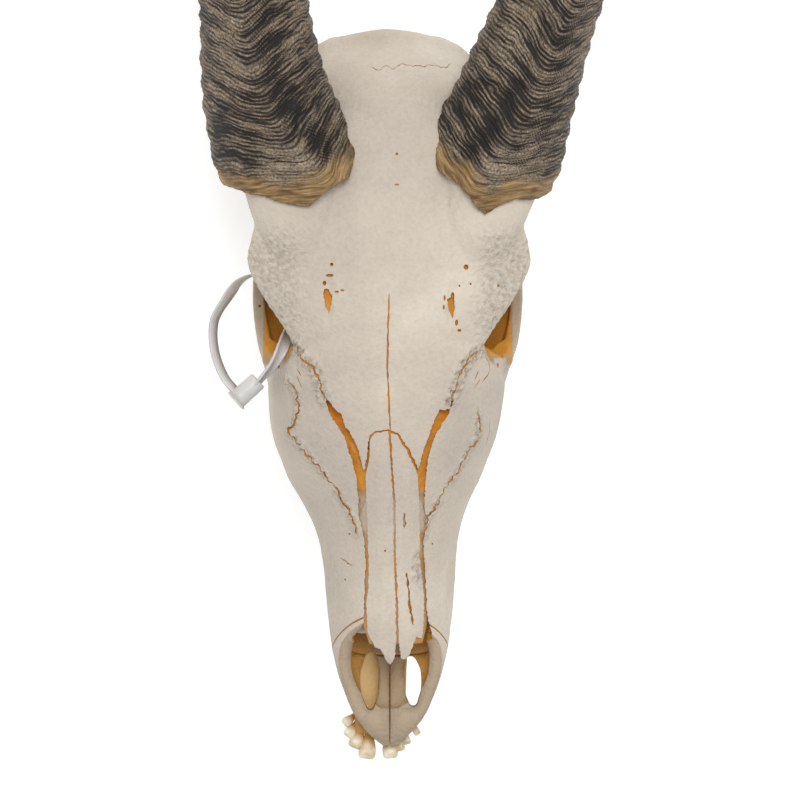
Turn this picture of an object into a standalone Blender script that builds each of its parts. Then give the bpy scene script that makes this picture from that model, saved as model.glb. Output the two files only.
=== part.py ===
"""A bongo skull with its lower jaw and horns, lying as it rests: on the jaw's angles and the backs of the horns.

Everything is laid out in the skull's own frame, in millimetres: X to the animal's left, Y from the nose to the
back of the head, Z up from the forehead, which is level there. One empty turns and lifts that frame to the floor.
"""

import math

import bmesh
import bpy
from mathutils import Matrix, Vector

MM = 0.001

# Driving dimensions, in millimetres.
NOSE_TIP = -263.0
OCCIPUT = 160.0
ORBIT_CENTRE = (72.0, -2.0, -49.0)
ORBIT_RADII = (37.0, 28.0, 21.0)
SEAM = 0.9
HORN_LENGTH = 760.0
CORE_GAP = 1.2
JAW_TURN = 1.1
JAW_HALF_GAP = 1.9
BITE = -122.0
BITE_GAP = 1.2
STRAP_WIDTH = 7.2
STRAP_THICKNESS = 1.5
LOCK_RADIUS = 5.6
LOCK_LENGTH = 18.0

# Fineness of the modelled bone, in millimetres, and the faces that each node keeps.
VOXEL = 1.4
FACES = {"cranium": 5600, "nasal": 240, "premaxilla": 420, "mandible": 1300}

# The body of the skull from the back of the head to the tip of the nose.
# Each row: y, top, height of the widest place, bottom, half width, roundness above, roundness below.
BODY = (
    (158, -66, -84, -104, 34, 2.2, 2.2),
    (150, -50, -82, -110, 46, 2.3, 2.3),
    (138, -34, -78, -112, 53, 2.3, 2.4),
    (120, -17, -72, -112, 52, 2.4, 2.4),
    (100, -6, -64, -110, 48, 2.5, 2.3),
    (75, 0, -58, -107, 44, 2.7, 2.2),
    (50, 3, -55, -105, 41, 3.0, 2.2),
    (25, 2.5, -55, -104, 38, 3.0, 2.2),
    (0, 0, -62, -108, 37, 3.0, 2.2),
    (-15, -2.5, -66, -112, 47, 3.2, 2.1),
    (-28, -5, -74, -114, 60, 3.3, 2.0),
    (-44, -7.5, -80, -115, 69, 2.7, 2.0),
    (-56, -9.5, -84, -115, 69.2, 2.35, 2.0),
    (-68, -12, -86, -115, 68, 2.15, 2.1),
    (-80, -14, -88, -115, 65.5, 2.0, 2.2),
    (-91, -16.2, -90, -114, 61.4, 1.9, 2.3),
    (-103, -18.6, -92, -113, 56.8, 1.8, 2.5),
    (-115, -21, -94, -111, 50.2, 1.75, 2.6),
    (-127, -23.8, -94, -109, 44.9, 1.75, 2.6),
    (-138, -26.5, -94, -107, 41.5, 1.75, 2.6),
    (-150, -29.5, -94, -106, 39.8, 1.8, 2.5),
    (-174, -36, -92, -104, 37.8, 1.8, 2.5),
    (-197, -42.5, -90, -103, 35.3, 1.8, 2.5),
    (-209, -46, -89, -102.5, 33, 1.8, 2.4),
    (-221, -50, -90, -102.5, 30, 1.8, 2.4),
    (-232, -54, -91, -102.5, 26, 1.8, 2.3),
    (-244, -60, -92.5, -102.5, 20.5, 1.8, 2.2),
    (-255, -68, -94, -102, 12, 1.9, 2.1),
    (-262, -78, -95, -100, 4, 2.0, 2.0),
)

# The inside of the nose, laid out like the body.
NOSE_CAVITY = (
    (-60, -60, -70, -80, 8, 2.0, 2.0),
    (-68, -32, -78, -96, 30, 2.0, 2.0),
    (-80, -20, -82, -103, 44, 2.0, 2.2),
    (-103, -23.5, -86, -103, 46, 1.8, 2.4),
    (-127, -28.5, -88, -101, 37.5, 1.75, 2.5),
    (-150, -34, -88, -99, 33.5, 1.8, 2.5),
    (-174, -40.5, -86, -97, 30.5, 1.8, 2.5),
    (-190, -45, -85, -96, 27.5, 1.8, 2.5),
    (-209, -50, -84, -95, 24.5, 1.8, 2.4),
    (-221, -54, -84, -95, 21.5, 1.8, 2.4),
    (-232, -60, -84, -94, 15.5, 1.9, 2.2),
    (-239, -68, -84, -92, 7, 2.0, 2.0),
)

# The broad forehead that roofs the orbits: y, half width, drop of its rim below the crown, thickness of the rim.
FOREHEAD = (
    (108, 40, 14, 20),
    (96, 58, 14, 24),
    (80, 72, 15, 26),
    (62, 75, 15, 24),
    (46, 75.5, 15, 20),
    (32, 79, 18, 16),
    (22, 80.5, 21, 14),
    (12, 77, 21, 13),
    (0, 70, 18, 12),
    (-12, 62, 17, 12),
    (-24, 54, 16, 12),
    (-36, 44, 13, 11),
    (-48, 30, 8, 10),
)


def skull_collection(name):
    collection = bpy.data.collections.new(name)
    bpy.context.scene.collection.children.link(collection)
    return collection


def clear_scene():
    for obj in list(bpy.data.objects):
        bpy.data.objects.remove(obj, do_unlink=True)
    for collection in list(bpy.data.collections):
        bpy.data.collections.remove(collection)


def smooth_between(keys, at):
    """The values of keyed rows at a place along them, on one smooth curve. Rows start with the place."""
    rows = sorted(keys)
    if at <= rows[0][0]:
        return rows[0][1:]
    if at >= rows[-1][0]:
        return rows[-1][1:]
    i = max(k for k in range(len(rows) - 1) if rows[k][0] <= at)
    here, there = rows[i], rows[i + 1]
    before, after = rows[max(i - 1, 0)], rows[min(i + 2, len(rows) - 1)]
    span = there[0] - here[0]
    t = (at - here[0]) / span
    out = []
    for b, h, n, a in zip(before[1:], here[1:], there[1:], after[1:]):
        slope_in = (n - b) / (there[0] - before[0]) * span
        slope_out = (a - h) / (after[0] - here[0]) * span
        out.append(
            (2 * t**3 - 3 * t**2 + 1) * h
            + (t**3 - 2 * t**2 + t) * slope_in
            + (3 * t**2 - 2 * t**3) * n
            + (t**3 - t**2) * slope_out
        )
    return tuple(out)


def steps(start, end, count):
    return [start + (end - start) * i / (count - 1) for i in range(count)]


def mesh_object(bm, name):
    """Puts a bmesh laid out in millimetres in the helper collection, as a closed mesh in metres."""
    bmesh.ops.recalc_face_normals(bm, faces=bm.faces)
    bmesh.ops.scale(bm, vec=Vector((MM, MM, MM)), verts=bm.verts)
    mesh = bpy.data.meshes.new(name)
    bm.to_mesh(mesh)
    bm.free()
    obj = bpy.data.objects.new(name, mesh)
    helpers.objects.link(obj)
    return obj


def loft(name, rings):
    """A closed tube through rings that have the same number of points."""
    bm = bmesh.new()
    rows = [[bm.verts.new(p) for p in ring] for ring in rings]
    for one, two in zip(rows, rows[1:]):
        for i in range(len(one)):
            j = (i + 1) % len(one)
            bm.faces.new((one[i], one[j], two[j], two[i]))
    for row in (rows[0], rows[-1]):
        bm.faces.new(row)
    return mesh_object(bm, name)


def egg_ring(y, top, wide, bottom, half, above, below, sides=40):
    """A section across the skull: rounder or squarer above and below its widest place."""
    ring = []
    for i in range(sides):
        angle = 2 * math.pi * i / sides
        side, up = math.cos(angle), math.sin(angle)
        power = above if up >= 0 else below
        reach = (top - wide) if up >= 0 else (wide - bottom)
        x = half * math.copysign(abs(side) ** (2 / power), side)
        z = wide + reach * math.copysign(abs(up) ** (2 / power), up)
        ring.append(Vector((x, y, z)))
    return ring


def body_loft(name, rows, count, sides=40):
    places = steps(rows[0][0], rows[-1][0], count)
    return loft(name, [egg_ring(y, *smooth_between(rows, y), sides=sides) for y in places])


def crown(y):
    """The height of the forehead and nose along the middle."""
    return smooth_between([(row[0], row[1]) for row in BODY], y)[0]


def ball(name, centre, radii, turn=(0, 0, 0), fine=24):
    bm = bmesh.new()
    bmesh.ops.create_uvsphere(bm, u_segments=fine, v_segments=fine // 2, radius=1.0)
    bmesh.ops.scale(bm, vec=Vector(radii), verts=bm.verts)
    spin = Matrix.Rotation(math.radians(turn[2]), 3, "Z")
    spin = spin @ Matrix.Rotation(math.radians(turn[1]), 3, "Y")
    spin = spin @ Matrix.Rotation(math.radians(turn[0]), 3, "X")
    bmesh.ops.rotate(bm, cent=Vector(), matrix=spin, verts=bm.verts)
    bmesh.ops.translate(bm, vec=Vector(centre), verts=bm.verts)
    return mesh_object(bm, name)


def limb(name, stations, flat_way=(0, 0, 1), sides=16, fine=5):
    """A bent bar through stations of place, half thickness and half height, its height lying near flat_way."""
    keys = [(float(i), *place, thick, tall) for i, (place, thick, tall) in enumerate(stations)]
    spots = [smooth_between(keys, t) for t in steps(0.0, len(stations) - 1.0, (len(stations) - 1) * fine + 1)]
    rings = []
    for i, spot in enumerate(spots):
        centre = Vector(spot[:3])
        ahead = Vector(spots[min(i + 1, len(spots) - 1)][:3])
        behind = Vector(spots[max(i - 1, 0)][:3])
        along = (ahead - behind).normalized()
        across = along.cross(Vector(flat_way)).normalized()
        tall_way = across.cross(along).normalized()
        rings.append(
            [
                centre
                + across * spot[3] * math.cos(2 * math.pi * k / sides)
                + tall_way * spot[4] * math.sin(2 * math.pi * k / sides)
                for k in range(sides)
            ]
        )
    return loft(name, rings)


def prism(name, outline, low, high, flat="Z", kind="BEZIER", resolution=6):
    """An outline drawn as a flat curve, thickened from low to high along one axis."""
    curve = bpy.data.curves.new(name, "CURVE")
    curve.dimensions = "2D"
    curve.fill_mode = "BOTH"
    curve.resolution_u = resolution
    curve.extrude = (high - low) / 2 * MM
    spline = curve.splines.new(kind)
    spline.use_cyclic_u = True
    if kind == "POLY":
        spline.points.add(len(outline) - 1)
        for point, (a, b) in zip(spline.points, outline):
            point.co = (a * MM, b * MM, 0, 1)
    else:
        spline.bezier_points.add(len(outline) - 1)
        for point, (a, b) in zip(spline.bezier_points, outline):
            point.co = (a * MM, b * MM, 0)
            point.handle_left_type = point.handle_right_type = "AUTO"
    drawn = bpy.data.objects.new(name, curve)
    helpers.objects.link(drawn)
    middle = (low + high) / 2 * MM
    if flat == "Z":
        place = Matrix.Translation((0, 0, middle))
    else:
        # The outline's two numbers are y and z, and the thickness runs along X.
        place = Matrix(((0, 0, 1, middle), (1, 0, 0, 0), (0, 1, 0, 0), (0, 0, 0, 1)))
    mesh = bpy.data.meshes.new_from_object(drawn.evaluated_get(bpy.context.evaluated_depsgraph_get()))
    mesh.transform(place)
    bpy.data.objects.remove(drawn)
    bm = bmesh.new()
    bm.from_mesh(mesh)
    bmesh.ops.remove_doubles(bm, verts=bm.verts, dist=1e-6)
    bmesh.ops.recalc_face_normals(bm, faces=bm.faces)
    bm.to_mesh(mesh)
    bm.free()
    solid = bpy.data.objects.new(name, mesh)
    helpers.objects.link(solid)
    return solid


def mirrored(obj):
    """The same piece on the other side of the skull."""
    other = obj.copy()
    other.data = obj.data.copy()
    other.name = obj.name + "_mirrored"
    helpers.objects.link(other)
    other.data.transform(Matrix.Diagonal((-1, 1, 1, 1)))
    other.data.flip_normals()
    return other


def both_sides(pieces):
    return pieces + [mirrored(piece) for piece in pieces]


def settled(obj):
    """Turns an object's modifiers into its mesh."""
    graph = bpy.context.evaluated_depsgraph_get()
    mesh = bpy.data.meshes.new_from_object(obj.evaluated_get(graph))
    obj.modifiers.clear()
    obj.data = mesh
    return obj


def removed(pieces):
    for piece in pieces:
        bpy.data.objects.remove(piece)


def fused(name, pieces, voxel=VOXEL, rounds=6):
    """One closed body from overlapping pieces, with the joints softened as bone is."""
    bm = bmesh.new()
    for piece in pieces:
        bm.from_mesh(piece.data)
    mesh = bpy.data.meshes.new(name)
    bm.to_mesh(mesh)
    bm.free()
    removed(pieces)
    whole = bpy.data.objects.new(name, mesh)
    helpers.objects.link(whole)
    return softened(whole, voxel, rounds)


def softened(obj, voxel=VOXEL, rounds=3):
    remesh = obj.modifiers.new("even", "REMESH")
    remesh.mode = "VOXEL"
    remesh.voxel_size = voxel * MM
    remesh.adaptivity = 0
    if rounds:
        smooth = obj.modifiers.new("soft", "SMOOTH")
        smooth.factor = 0.5
        smooth.iterations = rounds
    return settled(obj)


def combined(obj, cutters, operation="DIFFERENCE", keep=False):
    """Cuts, or meets, an object with each cutter in turn."""
    for cutter in cutters:
        step = obj.modifiers.new(cutter.name, "BOOLEAN")
        step.operation = operation
        step.object = cutter
        step.solver = "MANIFOLD"
        settled(obj)
    if not keep:
        removed(cutters)
    return obj


def copied(obj, name):
    other = obj.copy()
    other.data = obj.data.copy()
    other.name = name
    helpers.objects.link(other)
    return other


def largest_piece(obj):
    """Drops every loose scrap, and keeps the one largest closed surface."""
    bm = bmesh.new()
    bm.from_mesh(obj.data)
    bm.verts.ensure_lookup_table()
    seen, groups = set(), []
    for start in bm.verts:
        if start in seen:
            continue
        group, front = [], [start]
        seen.add(start)
        while front:
            vert = front.pop()
            group.append(vert)
            for edge in vert.link_edges:
                other = edge.other_vert(vert)
                if other not in seen:
                    seen.add(other)
                    front.append(other)
        groups.append(group)
    groups.sort(key=len)
    loose = [vert for group in groups[:-1] for vert in group]
    bmesh.ops.delete(bm, geom=loose, context="VERTS")
    bm.to_mesh(obj.data)
    bm.free()
    return obj


def thinned(obj, faces):
    """Fewer, larger triangles, with closed edges kept."""
    bm = bmesh.new()
    bm.from_mesh(obj.data)
    bmesh.ops.triangulate(bm, faces=bm.faces)
    bm.to_mesh(obj.data)
    count = len(bm.faces)
    bm.free()
    if count > faces:
        thin = obj.modifiers.new("thin", "DECIMATE")
        thin.ratio = faces / count
        thin.use_collapse_triangulate = True
        settled(obj)
    return obj


def forehead_plate():
    """The roof of the orbits and the root of the horns: a crowned plate with thick rims."""
    rings = []
    for y in steps(108, -48, 40):
        half, drop, thick = smooth_between(FOREHEAD, y)
        top = crown(y)
        count = 14
        upper = [
            Vector((half * s, y, top - drop * abs(s) ** 2.6)) for s in steps(-1, 1, count)
        ]
        lower = [
            Vector((half * s * 0.985, y, top - drop * abs(s) ** 2.6 - thick * (1.5 - 0.5 * abs(s)) ))
            for s in steps(1, -1, count)
        ]
        rings.append(upper + lower)
    return loft("forehead", rings)


def cheek_arch():
    """The zygomatic arch under the orbit, from the cheek to the temple."""
    return limb(
        "cheek_arch",
        [
            ((58, -60, -84), 9, 14),
            ((66.5, -38, -78), 5.5, 12),
            ((72.5, -20, -72), 4.4, 10),
            ((75.5, 0, -71), 3.6, 9),
            ((75, 18, -69), 3.6, 10),
            ((72, 38, -70), 3.4, 7),
            ((67, 58, -71), 3.6, 6),
            ((59, 74, -72), 5, 7),
            ((46, 84, -72), 7, 9),
        ],
    )


def orbit_bars():
    """The bar behind the orbit, and the front of its lower rim up to the brow."""
    behind = limb(
        "postorbital_bar",
        [
            ((73.5, 27, -22), 4.5, 7.5),
            ((77, 28, -34), 3.8, 6.5),
            ((76.5, 25, -50), 3.4, 6.5),
            ((75, 18, -66), 4, 8),
        ],
        flat_way=(0, 1, 0),
    )
    before = limb(
        "lacrimal_rim",
        [
            ((47, -27, -26), 6, 7),
            ((54, -33, -38), 6, 7),
            ((62, -33, -54), 6, 8),
            ((69, -29, -68), 5.5, 9),
        ],
        flat_way=(0, 1, 0),
    )
    return [behind, before]


def temple():
    """The root of the cheek arch, the ear region, and the bony swelling on the floor of the socket."""
    root = limb(
        "arch_root",
        [((38, 80, -68), 9, 9), ((52, 76, -71), 8, 7), ((62, 68, -72), 6, 5)],
    )
    ear = limb("ear_tube", [((40, 100, -86), 6, 7), ((52, 98, -86), 5, 5), ((59, 97, -84), 4.4, 4.4)])
    bulla = ball("bulla", (27, 92, -103), (8.5, 13, 11))
    mastoid = ball("mastoid", (46, 120, -86), (11, 15, 24))
    prong = limb(
        "paroccipital",
        [((43, 122, -98), 5, 10), ((42, 125, -118), 3.6, 8), ((39, 123, -134), 2.8, 6), ((37, 120, -144), 2, 3)],
        flat_way=(0, 1, 0),
    )
    condyle = ball("condyle", (17, 147, -100), (10, 13, 14), turn=(-20, 0, 18))
    pterygoid = limb(
        "pterygoid",
        [((22, -6, -104), 4.5, 13), ((20, 12, -107), 3.2, 13), ((18, 28, -106), 3, 10), ((16, 42, -102), 3.4, 7)],
    )
    swelling = ball("socket_floor", (44, -12, -85), (17, 24, 17))
    shelf = limb(
        "socket_shelf",
        [((58, -42, -88), 14, 9), ((60, -20, -84), 14.5, 8), ((61, -4, -83), 14, 7), ((62, 7, -82), 13, 5.5)],
    )
    corner = ball("socket_corner", (68, 11, -75), (7.5, 10, 4.5))
    return [root, ear, bulla, mastoid, prong, condyle, pterygoid, swelling, shelf, corner]


def pedicle(side):
    """The bony root of a horn, which the sheath covers."""
    sign = 1 if side == "left" else -1
    route = horn_route(side)
    inside = [route[round(1 + distance / HORN_LENGTH * (len(route) - 2))][1] for distance in (0, 22, 43, 58)]
    girths = ((32.3, 32.8), (29, 30), (22, 24), (13, 14))
    share = HORN_GIRTH[side]
    stations = [((sign * 42, 18, -25), 21, 18), ((sign * 50.5, 49, -15), 26.5, 23.5)]
    stations += [(place, thick * share, tall * share) for place, (thick, tall) in zip(inside, girths)]
    return limb(f"pedicle_{side}", stations, sides=28)


def nuchal_crest():
    """The crest across the back of the head."""
    return limb(
        "nuchal_crest",
        [
            ((-49, 122, -86), 5, 6),
            ((-49.5, 134, -67), 4.5, 6),
            ((-41, 146, -62), 4.5, 5.5),
            ((-26, 152, -60), 4, 5.5),
            ((0, 155.5, -58), 4.5, 5.5),
            ((26, 152, -60), 4, 5.5),
            ((41, 146, -62), 4.5, 5.5),
            ((49.5, 134, -67), 4.5, 6),
            ((49, 122, -86), 5, 6),
        ],
    )


def tooth_row(name, rows, height, root):
    """A row of cheek teeth, each two rounded lobes with a worn crown; rows give y, x, length and width."""
    teeth = []
    for number, (y, x, length, width) in enumerate(rows):
        for half in (-0.25, 0.25):
            rings = []
            for part, swell in ((0.0, 0.8), (0.35, 0.95), (0.8, 1.0), (1.0, 0.9)):
                z = root + (height - root) * part
                rings.append(
                    [
                        Vector(
                            (
                                x + width / 2 * swell * math.cos(2 * math.pi * k / 10),
                                y + length * half + length * 0.285 * swell * math.sin(2 * math.pi * k / 10),
                                z,
                            )
                        )
                        for k in range(10)
                    ]
                )
            teeth.append(loft(f"{name}_{number}", rings))
    return teeth


UPPER_TEETH = (
    (-112, 33, 12, 9),
    (-99, 35.5, 13.5, 11.5),
    (-85, 38, 13.5, 13),
    (-69, 40, 18, 15.5),
    (-49.5, 41, 20.5, 17),
    (-28, 41, 22, 16),
)
LOWER_TEETH = (
    (-110, 28, 10, 6),
    (-98.5, 29.5, 12, 7.5),
    (-85, 31.5, 14, 8.5),
    (-69, 33.5, 18, 10),
    (-49.5, 35.5, 20.5, 11),
    (-26, 37, 25, 10.5),
)


def whole_cranium():
    """Every bone of the upper skull as one body, before the openings and seams are cut."""
    sided = [cheek_arch(), *orbit_bars(), *temple()]
    pieces = [body_loft("body", BODY, 70), forehead_plate(), nuchal_crest()]
    pieces += [*both_sides(sided), pedicle("left"), pedicle("right")]
    return fused("whole", pieces, rounds=5)


# The plan outlines of the two nasal bones, from the forehead round to the tip, as x and y.
NASAL_RIGHT = (
    (-0.6, -73.5), (1.1, -95.8), (2.3, -113), (2.9, -147), (4.0, -171), (4.3, -194.5), (3.2, -205),
    (0.9, -208.7), (-1.2, -207), (-4.9, -199.4), (-7.8, -198.8), (-12.1, -190.7), (-13, -174), (-11.8, -165),
    (-11.5, -154), (-12, -136.4), (-12.9, -116), (-13.3, -98.6), (-11.4, -89.5), (-11, -80.4), (-10.2, -76.9),
    (-7.9, -74.7),
)
NASAL_LEFT = (
    (0.9, -74.7), (4.5, -75.8), (6.8, -80.4), (9.6, -84), (13.9, -93.4), (16.5, -98.6), (17.1, -113),
    (17.7, -128), (18.1, -147), (19.3, -156.6), (20.2, -170.4), (19.9, -186.5), (19, -194), (15.6, -193),
    (11.8, -203), (9.8, -205.5), (6.9, -205.5), (5.6, -194.5), (5.2, -171), (4.1, -147), (3.5, -113), (2.0, -95.8),
)

# The opening in the roof of the nose that holds the nasal bones, with the slits that stay open beside them.
NOSE_WINDOW = (
    (-35.8, -54.9), (-31.2, -60.5), (-26.7, -64.5), (-24.7, -71.9), (-22.2, -73.9), (-17.9, -83.8),
    (-14.4, -96.3), (-12.5, -89.5), (-12.1, -80), (-11, -76), (-8, -73.7), (-0.6, -72.5), (4.9, -74.6),
    (7.8, -79.4), (10.8, -83.0), (14.9, -92.0), (16.8, -95.2), (19.7, -83.8), (21.9, -78.2), (24.1, -70.8),
    (27, -64.5), (28.4, -61.4), (34.1, -61.4), (35.7, -54.9), (36.2, -57), (33.5, -64.5), (26.1, -75.9),
    (24.1, -82.5), (21.9, -91.2), (21.2, -98.6), (20.7, -105.7), (20.4, -113), (20.9, -120.4), (22.1, -128),
    (21, -135.6), (21.5, -145), (21.2, -156.6), (22, -168.7), (22.7, -172.7), (23.7, -184), (26, -190),
    (26, -216), (-24, -216), (-24, -196), (-18, -188.5), (-15, -184), (-14.3, -165.4), (-13.2, -147),
    (-16.5, -130), (-18, -123), (-17.6, -113), (-18.7, -99.7), (-20.8, -91.2), (-25.9, -75.9), (-33.2, -65.1),
    (-35.8, -57.1),
)

# The side view of what is open between the nasal bones and the front of the jaw, as y and z.
NOSE_MOUTH = (
    (-183, 10), (-184, -44), (-190, -54), (-198, -66), (-209, -75), (-222, -82), (-236, -88), (-250, -92.5),
    (-264, -96), (-290, -100), (-290, 10),
)

# The seam in front of which the nose is two bones of its own: its place at the palate, and its lean.
SEAM_BACK = -210.5
SEAM_LEAN = 0.52

# The holes through the palate at the front, as x and y.
FISSURE_RIGHT = (
    (-11, -206), (-6.6, -213), (-6.2, -224), (-8.5, -237), (-11.5, -240.5), (-15, -236), (-17.6, -226), (-16.5, -214),
)
FISSURE_LEFT = (
    (12.5, -208.5), (8.6, -212), (8.2, -222), (10.5, -234), (14.2, -238.5), (17.5, -233), (18.9, -223), (16.8, -213),
)


def polygon_prism(name, outline, low, high, flat="Z"):
    """A prism with straight sides: an outline drawn as a flat curve and thickened."""
    return prism(name, outline, low, high, flat, kind="POLY")


def block(name, low, high, lean=0.0):
    """A box between two corners; lean moves its rear face back as it rises, for each millimetre of height."""
    bm = bmesh.new()
    bmesh.ops.create_cube(bm, size=1.0)
    for vert in bm.verts:
        vert.co = Vector([low[i] + (high[i] - low[i]) * (vert.co[i] + 0.5) for i in range(3)])
    for vert in bm.verts:
        vert.co.y += lean * (vert.co.z + 100)
    return mesh_object(bm, name)


def palate_vault():
    """The hollow of the palate, between the rows of teeth."""
    rows = (
        (-2, -102, -120, -140, 22, 2, 2),
        (-30, -104, -120, -140, 29, 2, 2),
        (-70, -107, -120, -140, 28, 2, 2),
        (-110, -106.5, -120, -140, 24, 2, 2),
        (-150, -103.5, -120, -140, 17, 2, 2),
        (-190, -102, -120, -140, 12, 2, 2),
        (-205, -104, -120, -140, 5, 2, 2),
    )
    return body_loft("vault", rows, 16, sides=24)


def skull_openings():
    """The sockets and holes of the skull."""
    orbit = ball("orbit", ORBIT_CENTRE, ORBIT_RADII, turn=(0, 0, 14), fine=32)
    foramen = limb("foramen", [((0, 170, -98), 11, 12), ((0, 150, -95), 11, 12), ((0, 128, -90), 9, 10)])
    choana = limb("choana", [((0, -8, -116), 10, 6), ((0, 14, -112), 11, 12), ((0, 34, -112), 8, 9)])
    meatus = limb("meatus", [((75, 97, -84), 2.2, 2.2), ((50, 98, -86), 2.0, 2.0)])
    return [*both_sides([orbit, meatus]), foramen, choana, palate_vault()]


def nose_block(name, low_x, high_x, back):
    """A box round the front of the muzzle, with a rear face that leans as the seam of the bones there does."""
    bm = bmesh.new()
    bmesh.ops.create_cube(bm, size=1.0)
    for vert in bm.verts:
        z = -60 + 160 * vert.co.z
        y = back + SEAM_LEAN * (z + 100) if vert.co.y > 0 else -320
        vert.co = Vector((low_x if vert.co.x < 0 else high_x, y, z))
    return mesh_object(bm, name)


def upper_skull():
    """Cuts the whole cranium into its bones, and adds the teeth."""
    whole = combined(whole_cranium(), skull_openings())
    shell = combined(copied(whole, "shell"), [body_loft("cavity", NOSE_CAVITY, 50)])
    nasals = []
    for side, outline in (("left", NASAL_LEFT), ("right", NASAL_RIGHT)):
        edge = prism("edge", outline, -75, 20, kind="POLY")
        nasals.append(combined(copied(shell, f"nasal_{side}"), [edge], "INTERSECT"))
    window = prism("window", NOSE_WINDOW, -64, 20, kind="POLY")
    mouth = prism("mouth", NOSE_MOUTH, -80, 80, flat="X", kind="POLY")
    fissures = [prism("fissure", outline, -125, -80) for outline in (FISSURE_LEFT, FISSURE_RIGHT)]
    combined(shell, [window, mouth, *fissures])
    fronts = []
    for side, low, high in (("left", SEAM / 2, 90), ("right", -90, -SEAM / 2)):
        room = nose_block("room", low, high, SEAM_BACK - SEAM / 2)
        fronts.append(combined(copied(shell, f"premaxilla_{side}"), [room], "INTERSECT"))
    combined(shell, [nose_block("front", -100, 100, SEAM_BACK + SEAM / 2)])
    teeth = tooth_row("upper", UPPER_TEETH, BITE + BITE_GAP / 2, -100)
    cranium = fused("cranium", [shell, *both_sides(teeth)], rounds=2)
    removed([whole])
    return [finished(cranium, "cranium"), *(finished(n, "nasal") for n in nasals), *(finished(f, "premaxilla") for f in fronts)]


def finished(obj, kind):
    """One closed body, with as many faces as its kind of node keeps."""
    return thinned(largest_piece(obj), FACES[kind])


# The lower jaw from the side, as y and z, and its middle line and half thickness along y.
JAW_OUTLINE = (
    (-257, -108), (-254, -113), (-240, -118), (-205, -121), (-175, -124), (-150, -129), (-120, -139),
    (-80, -151), (-40, -161), (-10, -167), (10, -177), (30, -193), (48, -200), (64, -195), (73, -180),
    (74, -155), (71, -125), (74, -100), (73, -88), (64, -86), (55, -92), (50, -80), (52, -64), (55, -53),
    (51, -46), (44, -49), (33, -64), (24, -85), (15, -107), (6, -118), (-10, -123), (-60, -124),
    (-116, -123), (-128, -119), (-160, -112), (-200, -108.5), (-235, -106.5), (-250, -106),
)
JAW_PLAN = (
    (-262, 6.5, 6), (-235, 7.5, 6), (-205, 9, 5.5), (-175, 14, 4.5), (-150, 19, 5), (-120, 26, 6.5),
    (-80, 31, 8), (-40, 35, 8.5), (0, 41, 7), (30, 48, 3.8), (60, 53, 3.4), (80, 54, 4.5),
)
JAW_FLAT = 4.0

# The front teeth of one side of the jaw: x and y of the neck, width, reach and turn outward.
INCISORS = ((7.2, -261, 10.5, 9.5, 4), (12.8, -256.5, 8.5, 8, 15), (15.8, -252, 6.5, 6.5, 26), (17.4, -246.5, 6, 5.5, 36))


def incisors():
    """The four front teeth of one side, fanned round the tip of the jaw."""
    teeth = []
    for number, (x, y, width, reach, turn) in enumerate(INCISORS):
        way = Vector((math.sin(math.radians(turn)), -math.cos(math.radians(turn)), 0))
        across = Vector((-way.y, way.x, 0))
        rings = []
        for out, wide, thick, z in (
            (-14, 2.6, 3.0, -111.5),
            (-6, 2.6, 2.9, -110.5),
            (0, 0.36 * width, 2.6, -109),
            (0.6 * reach, 0.48 * width, 2.1, -107),
            (reach, 0.5 * width, 1.4, -105.5),
        ):
            centre = Vector((x, y, z - 0.8 * number)) + way * out
            ring = []
            for k in range(12):
                angle = math.pi * k / 6
                ring.append(centre + across * wide * math.cos(angle) + Vector((0, 0, thick * math.sin(angle))))
            rings.append(ring)
        teeth.append(loft(f"incisor_{number}", rings))
    return teeth


def jaw_half():
    """The left half of the lower jaw, with its teeth."""
    side = softened(prism("jaw_side", JAW_OUTLINE, -JAW_FLAT, JAW_FLAT, "X"), 1.6, 3)
    for vert in side.data.vertices:
        middle, thick = smooth_between(JAW_PLAN, vert.co.y / MM)
        vert.co.x = middle * MM + vert.co.x / JAW_FLAT * thick
    joint = limb("jaw_joint", [((42, 67, -88), 5, 4), ((51, 68, -87), 6.5, 5), ((61, 66, -87), 6, 4.5)], sides=14)
    cheek_teeth = tooth_row("lower", LOWER_TEETH, BITE - BITE_GAP / 2, -140)
    return fused("jaw", [side, joint, *cheek_teeth, *incisors()], rounds=3)


def lower_jaw():
    """Both halves of the lower jaw, a little apart at the front and turned to the animal's right as one."""
    left = jaw_half()
    right = mirrored(left)
    turn = Matrix.Translation((0, 62 * MM, 0)) @ Matrix.Rotation(math.radians(-JAW_TURN), 4, "Z")
    turn = turn @ Matrix.Translation((0, -62 * MM, 0))
    for half, name, sign in ((left, "mandible_left", 1), (right, "mandible_right", -1)):
        half.name = name
        half.data.transform(turn @ Matrix.Translation((sign * JAW_HALF_GAP * MM, 0, 0)))
        finished(half, "mandible")
    return [left, right]


# A horn: where its middle line leaves the forehead, its turn outward and its rise along it, and its size.
HORN_BASE = {"left": (57.0, 77.0, -19.0), "right": (-53.5, 77.0, -19.0)}
HORN_SPREAD = {
    "left": ((0.0, 24), (0.04, 21), (0.07, 19), (0.13, 20.5)),
    "right": ((0.0, 32), (0.045, 18), (0.08, 8), (0.13, 7)),
}
HORN_TURN = ((0.3, 20), (0.5, 14), (0.7, -4), (0.88, -14), (1.0, -6))
HORN_RISE = ((0.0, 16), (0.15, 10), (0.35, -2), (0.6, -3), (0.8, 9), (1.0, 26))
HORN_SIZES = (
    (-0.06, 72, 73), (0.0, 75.5, 75), (0.02, 76.5, 76), (0.045, 71, 74), (0.08, 65, 70), (0.12, 59, 66),
    (0.2, 56, 62), (0.35, 52, 57), (0.5, 46, 50), (0.7, 35, 38), (0.85, 24, 26), (0.95, 12.5, 13.5), (1.0, 3, 3),
)
HORN_GIRTH = {"left": 0.975, "right": 1.03}
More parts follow.
